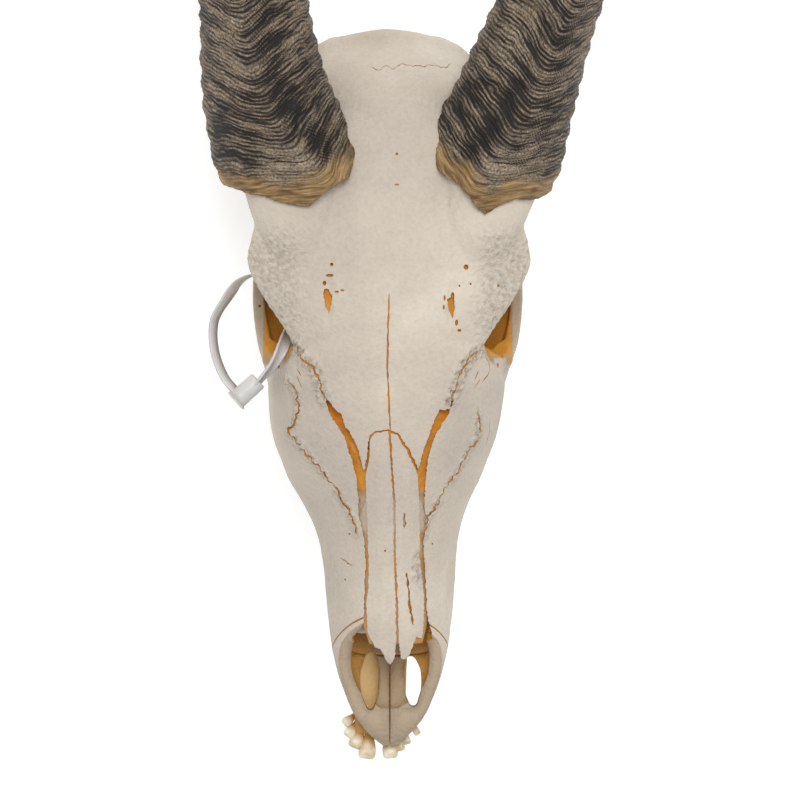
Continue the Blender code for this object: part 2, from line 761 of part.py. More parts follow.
HORN_BACK = 42.0
HORN_TWIST = 400.0

# What the base of a sheath is cut to, seen from above as x and y; the cut slants back as it goes down.
HORN_RIM = {
    "left": (
        (120, 40), (88, 49), (79, 50.5), (70, 54.5), (61, 51.5), (53, 46.5), (49, 50), (44, 58.5), (38, 63.5),
        (31, 66.5), (26, 68), (22, 77), (0, 110), (0, -40), (120, -40),
    ),
    "right": (
        (-120, 46), (-88, 55), (-77, 54), (-70, 55.5), (-61, 53.5), (-50, 51.5), (-45, 52), (-41, 56.5), (-37, 60),
        (-33, 62.5), (-27, 65.5), (-22.4, 66), (-19, 77), (0, 110), (0, -40), (-120, -40),
    ),
}
RIM_SLANT = 0.45
RIM_LEVEL = 12.0


def horn_route(side, count=90):
    """Points down the middle of a horn, from inside its root to its tip, with how far along each is."""
    sign = 1 if side == "left" else -1
    spread = (*HORN_SPREAD[side], *HORN_TURN)
    points = [Vector(HORN_BASE[side])]
    for i in range(count - 1):
        t = (i + 0.5) / (count - 1)
        out = math.radians(smooth_between(spread, t)[0])
        up = math.radians(smooth_between(HORN_RISE, t)[0])
        ahead = Vector((sign * math.sin(out) * math.cos(up), math.cos(out) * math.cos(up), math.sin(up)))
        points.append(points[-1] + ahead * HORN_LENGTH / (count - 1))
    back = (points[1] - points[0]).normalized() * HORN_BACK
    route = [(-HORN_BACK / HORN_LENGTH, points[0] - back)]
    return route + [(i / (count - 1), point) for i, point in enumerate(points)]


def horn_section(side, t, angle):
    """How far the sheath's surface is from its middle, as a share of its half size: a rounded triangle with a keel."""
    sign = 1 if side == "left" else -1
    keel = math.pi / 2 - sign * math.radians(HORN_TWIST) * max(t, 0)
    turn = math.remainder(angle - keel + sign * 0.25, 2 * math.pi)
    corner = 0.045 * math.cos(3 * turn)
    ridge = 0.05 * math.exp(-((turn / 0.30) ** 2))
    return 1 + (corner + ridge) * min(1.0, 3.0 * (1 - t))


def horn_tube(side, rings=34, sides=20):
    route = horn_route(side)
    loops = []
    for pick in (round(place) for place in steps(0, len(route) - 1, rings)):
        t, centre = route[pick]
        ahead = route[min(pick + 1, len(route) - 1)][1]
        behind = route[max(pick - 1, 0)][1]
        along = (ahead - behind).normalized()
        across = along.cross(Vector((0, 0, 1))).normalized()
        up = across.cross(along)
        wide, deep = smooth_between(HORN_SIZES, t)
        loop = []
        for k in range(sides):
            angle = 2 * math.pi * k / sides
            reach = horn_section(side, t, angle) * HORN_GIRTH[side] / 2
            loop.append(centre + across * wide * reach * math.cos(angle) + up * deep * reach * math.sin(angle))
        loops.append(loop)
    return loft(f"horn_{side}", loops)


def horn_sheath(side, cranium):
    """A sheath that is hollow at its base, where it sits over the horn's bony root."""
    sheath = horn_tube(side)
    rim = prism("rim", HORN_RIM[side], -140, 140, kind="POLY")
    for vert in rim.data.vertices:
        vert.co.y += RIM_SLANT * (RIM_LEVEL * MM - vert.co.z)
    bone = copied(cranium, "room_for_bone")
    swell = bone.modifiers.new("swell", "DISPLACE")
    swell.strength = CORE_GAP * MM
    swell.mid_level = 0
    bone = thinned(softened(settled(bone), 1.6, 0), 4000)
    combined(sheath, [rim, bone])
    return largest_piece(sheath)


# The middle of the strap's loop round the cheek arch, from its end in the lock back to the lock.
STRAP_ROUTE = (
    (-79, -50.5, -45), (-73, -44, -41), (-66, -36, -35), (-61.8, -28.4, -33.6), (-57.6, -18, -42), (-53, -7, -53),
    (-52, 6, -63), (-56.5, 15, -76), (-65, 19, -87), (-76, 19, -88), (-87, 13, -78), (-95, 2, -65),
    (-101, -11, -56), (-100.5, -27, -51), (-95, -42, -47), (-87, -52, -46),
)
STRAP_LEAN = Vector((-0.45, -0.25, 0.85))
LOCK_CENTRE = (-81.7, -50.7, -45.0)
LOCK_WAY = Vector((0.6, 0.55, 0.0))


def strap():
    """The flat plastic strap looped round the cheek arch."""
    keys = [(float(i), *place) for i, place in enumerate(STRAP_ROUTE)]
    spots = [Vector(smooth_between(keys, t)) for t in steps(0.0, len(keys) - 1.0, 43)]
    rings = []
    for i, spot in enumerate(spots):
        along = (spots[min(i + 1, len(spots) - 1)] - spots[max(i - 1, 0)]).normalized()
        wide = (STRAP_LEAN - along * STRAP_LEAN.dot(along)).normalized() * STRAP_WIDTH / 2
        thin = along.cross(wide).normalized() * STRAP_THICKNESS / 2
        rings.append([spot - wide - thin, spot + wide - thin, spot + wide + thin, spot - wide + thin])
    return combined(loft("tie_strap", rings), [lock(0.8)])


def lock(grown=0.0):
    """The round lock of the strap, with a flange at its lower end; grown, it is the room it needs."""
    rings = []
    along = LOCK_WAY.normalized()
    across = Vector((0, 0, 1))
    third = along.cross(across)
    for place, share in ((-0.5, 1.2), (-0.42, 1.2), (-0.41, 1.0), (0.5, 0.96)):
        centre = Vector(LOCK_CENTRE) + along * place * (LOCK_LENGTH + 2 * grown)
        ring = []
        for k in range(20):
            angle = math.pi * k / 10
            radius = LOCK_RADIUS * share + grown
            ring.append(centre + (across * math.cos(angle) + third * math.sin(angle)) * radius)
        rings.append(ring)
    return loft("tie_lock", rings)


# The look of each node: colour, roughness, metallic.
LOOKS = {
    "cranium": ((0.66, 0.61, 0.50), 0.75, 0.0),
    "nasal_left": ((0.68, 0.63, 0.52), 0.72, 0.0),
    "nasal_right": ((0.67, 0.62, 0.51), 0.72, 0.0),
    "premaxilla_left": ((0.70, 0.65, 0.55), 0.70, 0.0),
    "premaxilla_right": ((0.69, 0.64, 0.54), 0.70, 0.0),
    "mandible_left": ((0.67, 0.62, 0.50), 0.68, 0.0),
    "mandible_right": ((0.66, 0.61, 0.49), 0.68, 0.0),
    "horn_left": ((0.040, 0.033, 0.028), 0.55, 0.0),
    "horn_right": ((0.042, 0.035, 0.029), 0.56, 0.0),
    "tie_strap": ((0.82, 0.82, 0.80), 0.40, 0.0),
    "tie_lock": ((0.83, 0.83, 0.81), 0.38, 0.0),
}


def material_for(name):
    colour, roughness, metallic = LOOKS[name]
    material = bpy.data.materials.new(name)
    material.use_nodes = True
    shader = material.node_tree.nodes["Principled BSDF"]
    shader.inputs["Base Color"].default_value = (*colour, 1.0)
    shader.inputs["Roughness"].default_value = roughness
    shader.inputs["Metallic"].default_value = metallic
    return material


def into_skull(obj):
    """Moves a finished node to the skull's collection, with its own material."""
    bm = bmesh.new()
    bm.from_mesh(obj.data)
    bmesh.ops.triangulate(bm, faces=bm.faces)
    bmesh.ops.recalc_face_normals(bm, faces=bm.faces)
    bm.to_mesh(obj.data)
    bm.free()
    obj.data.name = obj.name
    obj.data.materials.clear()
    obj.data.materials.append(material_for(obj.name))
    helpers.objects.unlink(obj)
    skull.objects.link(obj)


def lowest(points, tilt):
    """The lowest height of some points when the nose is raised by a tilt."""
    return min(z * math.cos(tilt) - y * math.sin(tilt) for _, y, z in points)


def resting_tilt(jaw_points, horn_points):
    """The tilt at which the jaw's angles and the backs of the horns reach the floor together."""
    low, high = math.radians(5), math.radians(40)
    for _ in range(40):
        tilt = (low + high) / 2
        if lowest(jaw_points, tilt) < lowest(horn_points, tilt):
            low = tilt
        else:
            high = tilt
    return (low + high) / 2


def lay_down(nodes):
    """Parents every node to one empty, which tilts the skull to its rest and puts it on the floor."""
    jaw_points = [vert.co for obj in nodes if "mandible" in obj.name for vert in obj.data.vertices]
    horn_points = [vert.co for obj in nodes if "horn" in obj.name for vert in obj.data.vertices]
    tilt = resting_tilt(jaw_points, horn_points)
    turned = Matrix.Rotation(-tilt, 4, "X")
    points = [turned @ vert.co for obj in nodes for vert in obj.data.vertices]
    low = Vector([min(point[i] for point in points) for i in range(3)])
    high = Vector([max(point[i] for point in points) for i in range(3)])
    rest = bpy.data.objects.new("skull_at_rest", None)
    skull.objects.link(rest)
    rest.rotation_euler = (-tilt, 0, 0)
    rest.location = (-(low.x + high.x) / 2, -(low.y + high.y) / 2, -low.z)
    for obj in nodes:
        obj.parent = rest


clear_scene()
helpers = skull_collection("cutters")
skull = skull_collection("bongo_skull")
upper = upper_skull()
horns = [horn_sheath(side, upper[0]) for side in ("left", "right")]
nodes = [*upper, *lower_jaw(), *horns, strap(), lock()]
for node in nodes:
    into_skull(node)
lay_down(nodes)
removed(list(helpers.objects))
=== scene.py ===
"""The looks of the bongo skull: bone, teeth, horn sheaths and cable tie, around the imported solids.

Shapes are laid out in the skull's own frame, in millimetres: X to the animal's left, Y from the nose to the
back of the head, Z up from the forehead. At the end every piece is turned and lifted to the skull's rest.
"""

import math
import random

import bmesh
import bpy
import numpy as np
from mathutils import Matrix, Quaternion, Vector, noise
from mathutils.bvhtree import BVHTree


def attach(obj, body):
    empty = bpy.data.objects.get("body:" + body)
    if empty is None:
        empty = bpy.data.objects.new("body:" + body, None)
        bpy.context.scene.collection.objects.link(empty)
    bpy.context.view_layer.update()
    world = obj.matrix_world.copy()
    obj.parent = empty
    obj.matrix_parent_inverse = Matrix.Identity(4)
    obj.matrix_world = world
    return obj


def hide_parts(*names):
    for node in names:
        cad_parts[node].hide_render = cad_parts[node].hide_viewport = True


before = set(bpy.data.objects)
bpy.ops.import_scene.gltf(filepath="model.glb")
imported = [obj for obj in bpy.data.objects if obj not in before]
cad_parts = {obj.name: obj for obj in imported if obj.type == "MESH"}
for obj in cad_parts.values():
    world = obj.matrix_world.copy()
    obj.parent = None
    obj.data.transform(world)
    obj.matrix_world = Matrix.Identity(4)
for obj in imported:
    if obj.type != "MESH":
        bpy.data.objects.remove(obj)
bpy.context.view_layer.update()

MM = 0.001

# How the skull rests: its tilt in degrees, nose up, and where its own origin then lies, in millimetres.
REST_TILT = 17.549
REST_AT = (-12.46, -246.77, 207.01)
REST = Matrix.Translation(Vector(REST_AT) * MM) @ Matrix.Rotation(math.radians(-REST_TILT), 4, "X")

# Fineness of the modelled bone, teeth and seams, in millimetres.
VOXEL = 0.9
TOOTH_VOXEL = 0.45
SEAM_VOXEL = 0.3

ORBIT_CENTRE = (72.0, -2.0, -49.0)
ORBIT_RADII = (37.0, 28.0, 21.0)
SEAM = 0.9
HORN_LENGTH = 760.0
JAW_TURN = 1.1
JAW_HALF_GAP = 1.9
BITE = -122.0
BITE_GAP = 1.2

# The body of the skull from the back of the head to the tip of the nose.
# Each row: y, top, height of the widest place, bottom, half width, roundness above, roundness below.
BODY = (
    (158, -66, -84, -104, 34, 2.2, 2.2),
    (150, -50, -82, -110, 46, 2.3, 2.3),
    (138, -34, -78, -112, 53, 2.3, 2.4),
    (120, -17, -72, -112, 52, 2.4, 2.4),
    (100, -6, -64, -110, 48, 2.5, 2.3),
    (75, 0, -58, -107, 44, 2.7, 2.2),
    (50, 3, -55, -105, 41, 3.0, 2.2),
    (25, 2.5, -55, -104, 38, 3.0, 2.2),
    (0, 0, -62, -108, 37, 3.0, 2.2),
    (-15, -2.5, -66, -112, 47, 3.2, 2.1),
    (-28, -5, -74, -114, 60, 3.3, 2.0),
    (-44, -7.5, -80, -115, 69, 2.7, 2.0),
    (-56, -9.5, -84, -115, 69.2, 2.35, 2.0),
    (-68, -12, -86, -115, 68, 2.15, 2.1),
    (-80, -14, -88, -115, 65.5, 2.0, 2.2),
    (-91, -16.2, -90, -114, 61.4, 1.9, 2.3),
    (-103, -18.6, -92, -113, 56.8, 1.8, 2.5),
    (-115, -21, -94, -111, 50.2, 1.75, 2.6),
    (-127, -23.8, -94, -109, 44.9, 1.75, 2.6),
    (-138, -26.5, -94, -107, 41.5, 1.75, 2.6),
    (-150, -29.5, -94, -106, 39.8, 1.8, 2.5),
    (-174, -36, -92, -104, 37.8, 1.8, 2.5),
    (-197, -42.5, -90, -103, 35.3, 1.8, 2.5),
    (-209, -46, -89, -102.5, 33, 1.8, 2.4),
    (-221, -50, -90, -102.5, 30, 1.8, 2.4),
    (-232, -54, -91, -102.5, 26, 1.8, 2.3),
    (-244, -60, -92.5, -102.5, 20.5, 1.8, 2.2),
    (-255, -68, -94, -102, 12, 1.9, 2.1),
    (-262, -78, -95, -100, 4, 2.0, 2.0),
)

# The inside of the nose, laid out like the body.
NOSE_CAVITY = (
    (-60, -60, -70, -80, 8, 2.0, 2.0),
    (-68, -32, -78, -96, 30, 2.0, 2.0),
    (-80, -20, -82, -103, 44, 2.0, 2.2),
    (-103, -23.5, -86, -103, 46, 1.8, 2.4),
    (-127, -28.5, -88, -101, 37.5, 1.75, 2.5),
    (-150, -34, -88, -99, 33.5, 1.8, 2.5),
    (-174, -40.5, -86, -97, 30.5, 1.8, 2.5),
    (-190, -45, -85, -96, 27.5, 1.8, 2.5),
    (-209, -50, -84, -95, 24.5, 1.8, 2.4),
    (-221, -54, -84, -95, 21.5, 1.8, 2.4),
    (-232, -60, -84, -94, 15.5, 1.9, 2.2),
    (-239, -68, -84, -92, 7, 2.0, 2.0),
)

# The broad forehead that roofs the orbits: y, half width, drop of its rim below the crown, rim thickness.
FOREHEAD = (
    (108, 40, 14, 20),
    (96, 58, 14, 24),
    (80, 72, 15, 26),
    (62, 75, 15, 24),
    (46, 75.5, 15, 20),
    (32, 79, 18, 16),
    (22, 80.5, 21, 14),
    (12, 77, 21, 13),
    (0, 70, 18, 12),
    (-12, 62, 17, 12),
    (-24, 54, 16, 12),
    (-36, 44, 13, 11),
    (-48, 30, 8, 10),
)


def smooth_between(keys, at):
    """The values of keyed rows at a place along them, on one smooth curve. Rows start with the place."""
    rows = sorted(keys)
    if at <= rows[0][0]:
        return rows[0][1:]
    if at >= rows[-1][0]:
        return rows[-1][1:]
    i = max(k for k in range(len(rows) - 1) if rows[k][0] <= at)
    here, there = rows[i], rows[i + 1]
    before, after = rows[max(i - 1, 0)], rows[min(i + 2, len(rows) - 1)]
    span = there[0] - here[0]
    t = (at - here[0]) / span
    out = []
    for b, h, n, a in zip(before[1:], here[1:], there[1:], after[1:]):
        slope_in = (n - b) / (there[0] - before[0]) * span
        slope_out = (a - h) / (after[0] - here[0]) * span
        out.append(
            (2 * t**3 - 3 * t**2 + 1) * h
            + (t**3 - 2 * t**2 + t) * slope_in
            + (3 * t**2 - 2 * t**3) * n
            + (t**3 - t**2) * slope_out
        )
    return tuple(out)


def steps(start, end, count):
    """Evenly spaced numbers from start to end."""
    return [start + (end - start) * i / (count - 1) for i in range(count)]


def mesh_object(bm, name):
    """Puts a bmesh laid out in millimetres in the scene, as a closed mesh in metres."""
    bmesh.ops.recalc_face_normals(bm, faces=bm.faces)
    bmesh.ops.scale(bm, vec=Vector((MM, MM, MM)), verts=bm.verts)
    mesh = bpy.data.meshes.new(name)
    bm.to_mesh(mesh)
    bm.free()
    obj = bpy.data.objects.new(name, mesh)
    bpy.context.scene.collection.objects.link(obj)
    return obj


def loft(name, rings):
    """A closed tube through rings that have the same number of points."""
    bm = bmesh.new()
    rows = [[bm.verts.new(p) for p in ring] for ring in rings]
    for one, two in zip(rows, rows[1:]):
        for i in range(len(one)):
            j = (i + 1) % len(one)
            bm.faces.new((one[i], one[j], two[j], two[i]))
    for row in (rows[0], rows[-1]):
        bm.faces.new(row)
    return mesh_object(bm, name)


def egg_ring(y, top, wide, bottom, half, above, below, sides=40):
    """A section across the skull: rounder or squarer above and below its widest place."""
    ring = []
    for i in range(sides):
        angle = 2 * math.pi * i / sides
        side, up = math.cos(angle), math.sin(angle)
        power = above if up >= 0 else below
        reach = (top - wide) if up >= 0 else (wide - bottom)
        x = half * math.copysign(abs(side) ** (2 / power), side)
        z = wide + reach * math.copysign(abs(up) ** (2 / power), up)
        ring.append(Vector((x, y, z)))
    return ring


def body_loft(name, rows, count, sides=40):
    """A loft through sections laid out in rows of y and what egg_ring takes."""
    places = steps(rows[0][0], rows[-1][0], count)
    return loft(name, [egg_ring(y, *smooth_between(rows, y), sides=sides) for y in places])


def crown(y):
    """The height of the forehead and nose along the middle."""
    return smooth_between([(row[0], row[1]) for row in BODY], y)[0]


def ball(name, centre, radii, turn=(0, 0, 0), fine=24):
    """An ellipsoid, turned by degrees about X, Y and Z."""
    bm = bmesh.new()
    bmesh.ops.create_uvsphere(bm, u_segments=fine, v_segments=fine // 2, radius=1.0)
    bmesh.ops.scale(bm, vec=Vector(radii), verts=bm.verts)
    spin = Matrix.Rotation(math.radians(turn[2]), 3, "Z")
    spin = spin @ Matrix.Rotation(math.radians(turn[1]), 3, "Y")
    spin = spin @ Matrix.Rotation(math.radians(turn[0]), 3, "X")
    bmesh.ops.rotate(bm, cent=Vector(), matrix=spin, verts=bm.verts)
    bmesh.ops.translate(bm, vec=Vector(centre), verts=bm.verts)
    return mesh_object(bm, name)


# How many rings a limb has from one station to the next.
LIMB_STEPS = 5


def limb(name, stations, flat_way=(0, 0, 1), sides=16):
    """A bent bar through stations of place, half thickness and half height, the height near flat_way."""
    keys = [(float(i), *place, thick, tall) for i, (place, thick, tall) in enumerate(stations)]
    last = len(stations) - 1
    spots = [smooth_between(keys, t) for t in steps(0.0, float(last), last * LIMB_STEPS + 1)]
    rings = []
    for i, spot in enumerate(spots):
        centre = Vector(spot[:3])
        ahead = Vector(spots[min(i + 1, len(spots) - 1)][:3])
        behind = Vector(spots[max(i - 1, 0)][:3])
        along = (ahead - behind).normalized()
        across = along.cross(Vector(flat_way)).normalized()
        tall_way = across.cross(along).normalized()
        rings.append(
            [
                centre
                + across * spot[3] * math.cos(2 * math.pi * k / sides)
                + tall_way * spot[4] * math.sin(2 * math.pi * k / sides)
                for k in range(sides)
            ]
        )
    return loft(name, rings)


def prism(name, outline, low, high, flat="Z", kind="POLY"):
    """An outline drawn as a flat curve, thickened from low to high along one axis."""
    curve = bpy.data.curves.new(name, "CURVE")
    curve.dimensions = "2D"
    curve.fill_mode = "BOTH"
    curve.resolution_u = 6
    curve.extrude = (high - low) / 2 * MM
    spline = curve.splines.new(kind)
    spline.use_cyclic_u = True
    if kind == "POLY":
        spline.points.add(len(outline) - 1)
        for point, (a, b) in zip(spline.points, outline):
            point.co = (a * MM, b * MM, 0, 1)
    else:
        spline.bezier_points.add(len(outline) - 1)
        for point, (a, b) in zip(spline.bezier_points, outline):
            point.co = (a * MM, b * MM, 0)
            point.handle_left_type = point.handle_right_type = "AUTO"
    drawn = bpy.data.objects.new(name, curve)
    bpy.context.scene.collection.objects.link(drawn)
    middle = (low + high) / 2 * MM
    if flat == "Z":
        place = Matrix.Translation((0, 0, middle))
    else:
        # The outline's two numbers are y and z, and the thickness runs along X.
        place = Matrix(((0, 0, 1, middle), (1, 0, 0, 0), (0, 1, 0, 0), (0, 0, 0, 1)))
    mesh = bpy.data.meshes.new_from_object(drawn.evaluated_get(bpy.context.evaluated_depsgraph_get()))
    mesh.transform(place)
    bpy.data.objects.remove(drawn)
    bm = bmesh.new()
    bm.from_mesh(mesh)
    bmesh.ops.remove_doubles(bm, verts=bm.verts, dist=1e-6)
    bmesh.ops.recalc_face_normals(bm, faces=bm.faces)
    bm.to_mesh(mesh)
    bm.free()
    solid = bpy.data.objects.new(name, mesh)
    bpy.context.scene.collection.objects.link(solid)
    return solid


def mirrored(obj):
    """The same piece on the other side of the skull."""
    other = obj.copy()
    other.data = obj.data.copy()
    other.name = obj.name + "_mirrored"
    bpy.context.scene.collection.objects.link(other)
    other.data.transform(Matrix.Diagonal((-1, 1, 1, 1)))
    other.data.flip_normals()
    return other


def both_sides(pieces):
    """The pieces, and their copies on the other side of the skull."""
    return pieces + [mirrored(piece) for piece in pieces]


def settled(obj):
    """Turns an object's modifiers into its mesh."""
    graph = bpy.context.evaluated_depsgraph_get()
    mesh = bpy.data.meshes.new_from_object(obj.evaluated_get(graph))
    obj.modifiers.clear()
    obj.data = mesh
    return obj


def removed(pieces):
    """Takes pieces out of the scene."""
    for piece in pieces:
        bpy.data.objects.remove(piece)


def joined(name, pieces):
    """One object from several, with their bodies left as they are."""
    bm = bmesh.new()
    for piece in pieces:
        bm.from_mesh(piece.data)
    mesh = bpy.data.meshes.new(name)
    bm.to_mesh(mesh)
    bm.free()
    removed(pieces)
    whole = bpy.data.objects.new(name, mesh)
    bpy.context.scene.collection.objects.link(whole)
    return whole


def softened(obj, voxel=VOXEL, rounds=3):
    """Makes one even, closed skin over an object's bodies, and smooths it."""
    remesh = obj.modifiers.new("even", "REMESH")
    remesh.mode = "VOXEL"
    remesh.voxel_size = voxel * MM
    remesh.adaptivity = 0
    if rounds:
        smooth = obj.modifiers.new("soft", "SMOOTH")
        smooth.factor = 0.5
        smooth.iterations = rounds
    return settled(obj)


def fused(name, pieces, voxel=VOXEL, rounds=6):
    """Pieces joined under one even skin."""
    return softened(joined(name, pieces), voxel, rounds)


def combined(obj, cutters, operation="DIFFERENCE"):
    """Cuts, or meets, an object with each cutter in turn. The faces it leaves keep its slot."""
    for cutter in cutters:
        step = obj.modifiers.new(cutter.name, "BOOLEAN")
        step.operation = operation
        step.object = cutter
        step.solver = "MANIFOLD"
        settled(obj)
    removed(cutters)
    return obj


def copied(obj, name):
    """A copy of a piece with a mesh of its own."""
    other = obj.copy()
    other.data = obj.data.copy()
    other.name = name
    bpy.context.scene.collection.objects.link(other)
    return other


def largest_piece(obj):
    """Drops every loose scrap, and keeps the one largest closed surface."""
    count = len(obj.data.vertices)
    edges = np.zeros(len(obj.data.edges) * 2, np.int64)
    obj.data.edges.foreach_get("vertices", edges)
    edges = edges.reshape(-1, 2)
    label = np.arange(count)
    while True:
        low = np.minimum(label[edges[:, 0]], label[edges[:, 1]])
        fresh = label.copy()
        np.minimum.at(fresh, edges[:, 0], low)
        np.minimum.at(fresh, edges[:, 1], low)
        fresh = fresh[fresh]
        if np.array_equal(fresh, label):
            break
        label = fresh
    names, sizes = np.unique(label, return_counts=True)
    keep = names[sizes.argmax()]
    bm = bmesh.new()
    bm.from_mesh(obj.data)
    bm.verts.ensure_lookup_table()
    loose = [bm.verts[i] for i in np.nonzero(label != keep)[0]]
    bmesh.ops.delete(bm, geom=loose, context="VERTS")
    bm.to_mesh(obj.data)
    bm.free()
    return obj


def forehead_plate():
    """The roof of the orbits and the root of the horns: a crowned plate with thick rims."""
    rings = []
    for y in steps(108, -48, 60):
        half, drop, thick = smooth_between(FOREHEAD, y)
        top = crown(y)
        count = 20
        upper = [Vector((half * s, y, top - drop * abs(s) ** 2.6)) for s in steps(-1, 1, count)]
        lower = [
            Vector((half * s * 0.985, y, top - drop * abs(s) ** 2.6 - thick * (1.5 - 0.5 * abs(s))))
            for s in steps(1, -1, count)
        ]
        rings.append(upper + lower)
    return loft("forehead", rings)


def cheek_arch():
    """The zygomatic arch under the orbit, from the cheek to the temple."""
    return limb(
        "cheek_arch",
        [
            ((58, -60, -84), 9, 14),
            ((66.5, -38, -78), 5.5, 12),
            ((72.5, -20, -72), 4.4, 10),
            ((75.5, 0, -71), 3.6, 9),
            ((75, 18, -69), 3.6, 10),
            ((72, 38, -70), 3.4, 7),
            ((67, 58, -71), 3.6, 6),
            ((59, 74, -72), 5, 7),
            ((46, 84, -72), 7, 9),
        ],
    )


def orbit_bars():
    """The bar behind the orbit, and the front of its lower rim up to the brow."""
    behind = limb(
        "postorbital_bar",
        [
            ((73.5, 27, -22), 4.5, 7.5),
            ((77, 28, -34), 3.8, 6.5),
            ((76.5, 25, -50), 3.4, 6.5),
            ((75, 18, -66), 4, 8),
        ],
        flat_way=(0, 1, 0),
    )
    before = limb(
        "lacrimal_rim",
        [
            ((47, -27, -26), 6, 7),
            ((54, -33, -38), 6, 7),
            ((62, -33, -54), 6, 8),
            ((69, -29, -68), 5.5, 9),
        ],
        flat_way=(0, 1, 0),
    )
    return [behind, before]


def temple():
    """The root of the cheek arch, the ear region, and the bony swelling on the floor of the socket."""
    root = limb("arch_root", [((38, 80, -68), 9, 9), ((52, 76, -71), 8, 7), ((62, 68, -72), 6, 5)])
    ear = limb("ear_tube", [((40, 100, -86), 6, 7), ((52, 98, -86), 5, 5), ((59, 97, -84), 4.4, 4.4)])
    bulla = ball("bulla", (27, 92, -103), (8.5, 13, 11))
    mastoid = ball("mastoid", (46, 120, -86), (11, 15, 24))
    prong = limb(
        "paroccipital",
        [
            ((43, 122, -98), 5, 10),
            ((42, 125, -118), 3.6, 8),
            ((39, 123, -134), 2.8, 6),
            ((37, 120, -144), 2, 3),
        ],
        flat_way=(0, 1, 0),
    )
    condyle = ball("condyle", (17, 147, -100), (10, 13, 14), turn=(-20, 0, 18))
    pterygoid = limb(
        "pterygoid",
        [
            ((22, -6, -104), 4.5, 13),
            ((20, 12, -107), 3.2, 13),
            ((18, 28, -106), 3, 10),
            ((16, 42, -102), 3.4, 7),
        ],
    )
    swelling = ball("socket_floor", (44, -12, -85), (17, 24, 17))
    shelf = limb(
        "socket_shelf",
        [((58, -42, -88), 14, 9), ((60, -20, -84), 14.5, 8), ((61, -4, -83), 14, 7), ((62, 7, -82), 13, 5.5)],
    )
    corner = ball("socket_corner", (68, 11, -75), (7.5, 10, 4.5))
    return [root, ear, bulla, mastoid, prong, condyle, pterygoid, swelling, shelf, corner]


def pedicle(side):
    """The bony root of a horn, which the sheath covers."""
    sign = 1 if side == "left" else -1
    route = horn_route(side)
    inside = [route[round(1 + distance / HORN_LENGTH * (len(route) - 2))][1] for distance in (0, 22, 43, 58)]
    girths = ((32.3, 32.8), (29, 30), (22, 24), (13, 14))
    share = HORN_GIRTH[side]
    stations = [((sign * 42, 18, -25), 21, 18), ((sign * 50.5, 49, -15), 26.5, 23.5)]
    stations += [(place, thick * share, tall * share) for place, (thick, tall) in zip(inside, girths)]
    return limb(f"pedicle_{side}", stations, sides=28)


def nuchal_crest():
    """The crest across the back of the head."""
    return limb(
        "nuchal_crest",
        [
            ((-49, 122, -86), 5, 6),
            ((-49.5, 134, -67), 4.5, 6),
            ((-41, 146, -62), 4.5, 5.5),
            ((-26, 152, -60), 4, 5.5),
            ((0, 155.5, -58), 4.5, 5.5),
            ((26, 152, -60), 4, 5.5),
            ((41, 146, -62), 4.5, 5.5),
            ((49.5, 134, -67), 4.5, 6),
            ((49, 122, -86), 5, 6),
        ],
    )


# The cheek teeth: y, x, length and width of each.
UPPER_TEETH = (
    (-112, 33, 12, 9),
    (-99, 35.5, 13.5, 11.5),
    (-85, 38, 13.5, 13),
    (-69, 40, 18, 15.5),
    (-49.5, 41, 20.5, 17),
    (-28, 41, 22, 16),
)
LOWER_TEETH = (
    (-110, 28, 10, 6),
    (-98.5, 29.5, 12, 7.5),
    (-85, 31.5, 14, 8.5),
    (-69, 33.5, 18, 10),
    (-49.5, 35.5, 20.5, 11),
    (-26, 37, 25, 10.5),
)


def tooth_ring(x, y, z, length, width, swell, outer):
    """A section of a cheek tooth: two lobes, with upright ribs on the outer side."""
    ring = []
    sides = 44
    for k in range(sides):
        angle = 2 * math.pi * k / sides
        lobes = 1 - 0.13 * math.cos(2 * angle) ** 8 * (1 if abs(math.cos(angle)) < 0.75 else 0.0)
        waist = 1 - 0.2 * math.exp(-((math.sin(angle) / 0.16) ** 2))
        rib = 0.07 * math.cos(6 * angle) ** 2 if outer * math.cos(angle) > 0 else 0.0
        across = math.copysign(abs(math.cos(angle)) ** 0.75, math.cos(angle))
        along = math.copysign(abs(math.sin(angle)) ** 0.8, math.sin(angle))
        reach = (lobes * waist + rib) * swell
        ring.append(Vector((x + across * width / 2 * reach, y + along * length / 2 * min(swell, 1.0), z)))
    return ring


def tooth_row(name, rows, height, root, outer):
    """A row of cheek teeth with worn crowns, from the height of their roots to that of their chewing side."""
    teeth = []
    for number, (y, x, length, width) in enumerate(rows):
        rings = []
        for part, swell in ((0.0, 0.84), (0.3, 0.92), (0.6, 0.99), (0.85, 1.0), (0.96, 0.95), (1.0, 0.86)):
            rings.append(tooth_ring(x, y, root + (height - root) * part, length * 0.975, width, swell, outer))
        tooth = loft(f"{name}_{number}", rings)
        worn(tooth, x, y, height, length, width)
        teeth.append(tooth)
    return joined(name, teeth)


# How deep a crown's worn pits reach from its chewing side.
WEAR_DEPTH = 2.2


def worn(tooth, x, y, height, length, width):
    """Gives a tooth's chewing side its crescent-shaped pits and sharp outer edge."""
    softened(tooth, TOOTH_VOXEL, 1)
    way = math.copysign(1, height - BITE)
    for vert in tooth.data.vertices:
        px, py, pz = vert.co / MM
        depth = abs(pz - height)
        if depth > WEAR_DEPTH:
            continue
        u = (px - x) / (width / 2)
        v = (py - y) / (length / 4)
        lobe = abs(abs(v) - 1)
        pit = math.exp(-(((lobe * 0.8) ** 2 + (u * 0.55) ** 2 - 0.16) / 0.09) ** 2)
        centre_pit = math.exp(-(lobe**2 + (u * 0.6) ** 2) / 0.02)
        vert.co.z += way * (1.3 * pit + 0.8 * centre_pit) * MM * (1 - depth / WEAR_DEPTH)


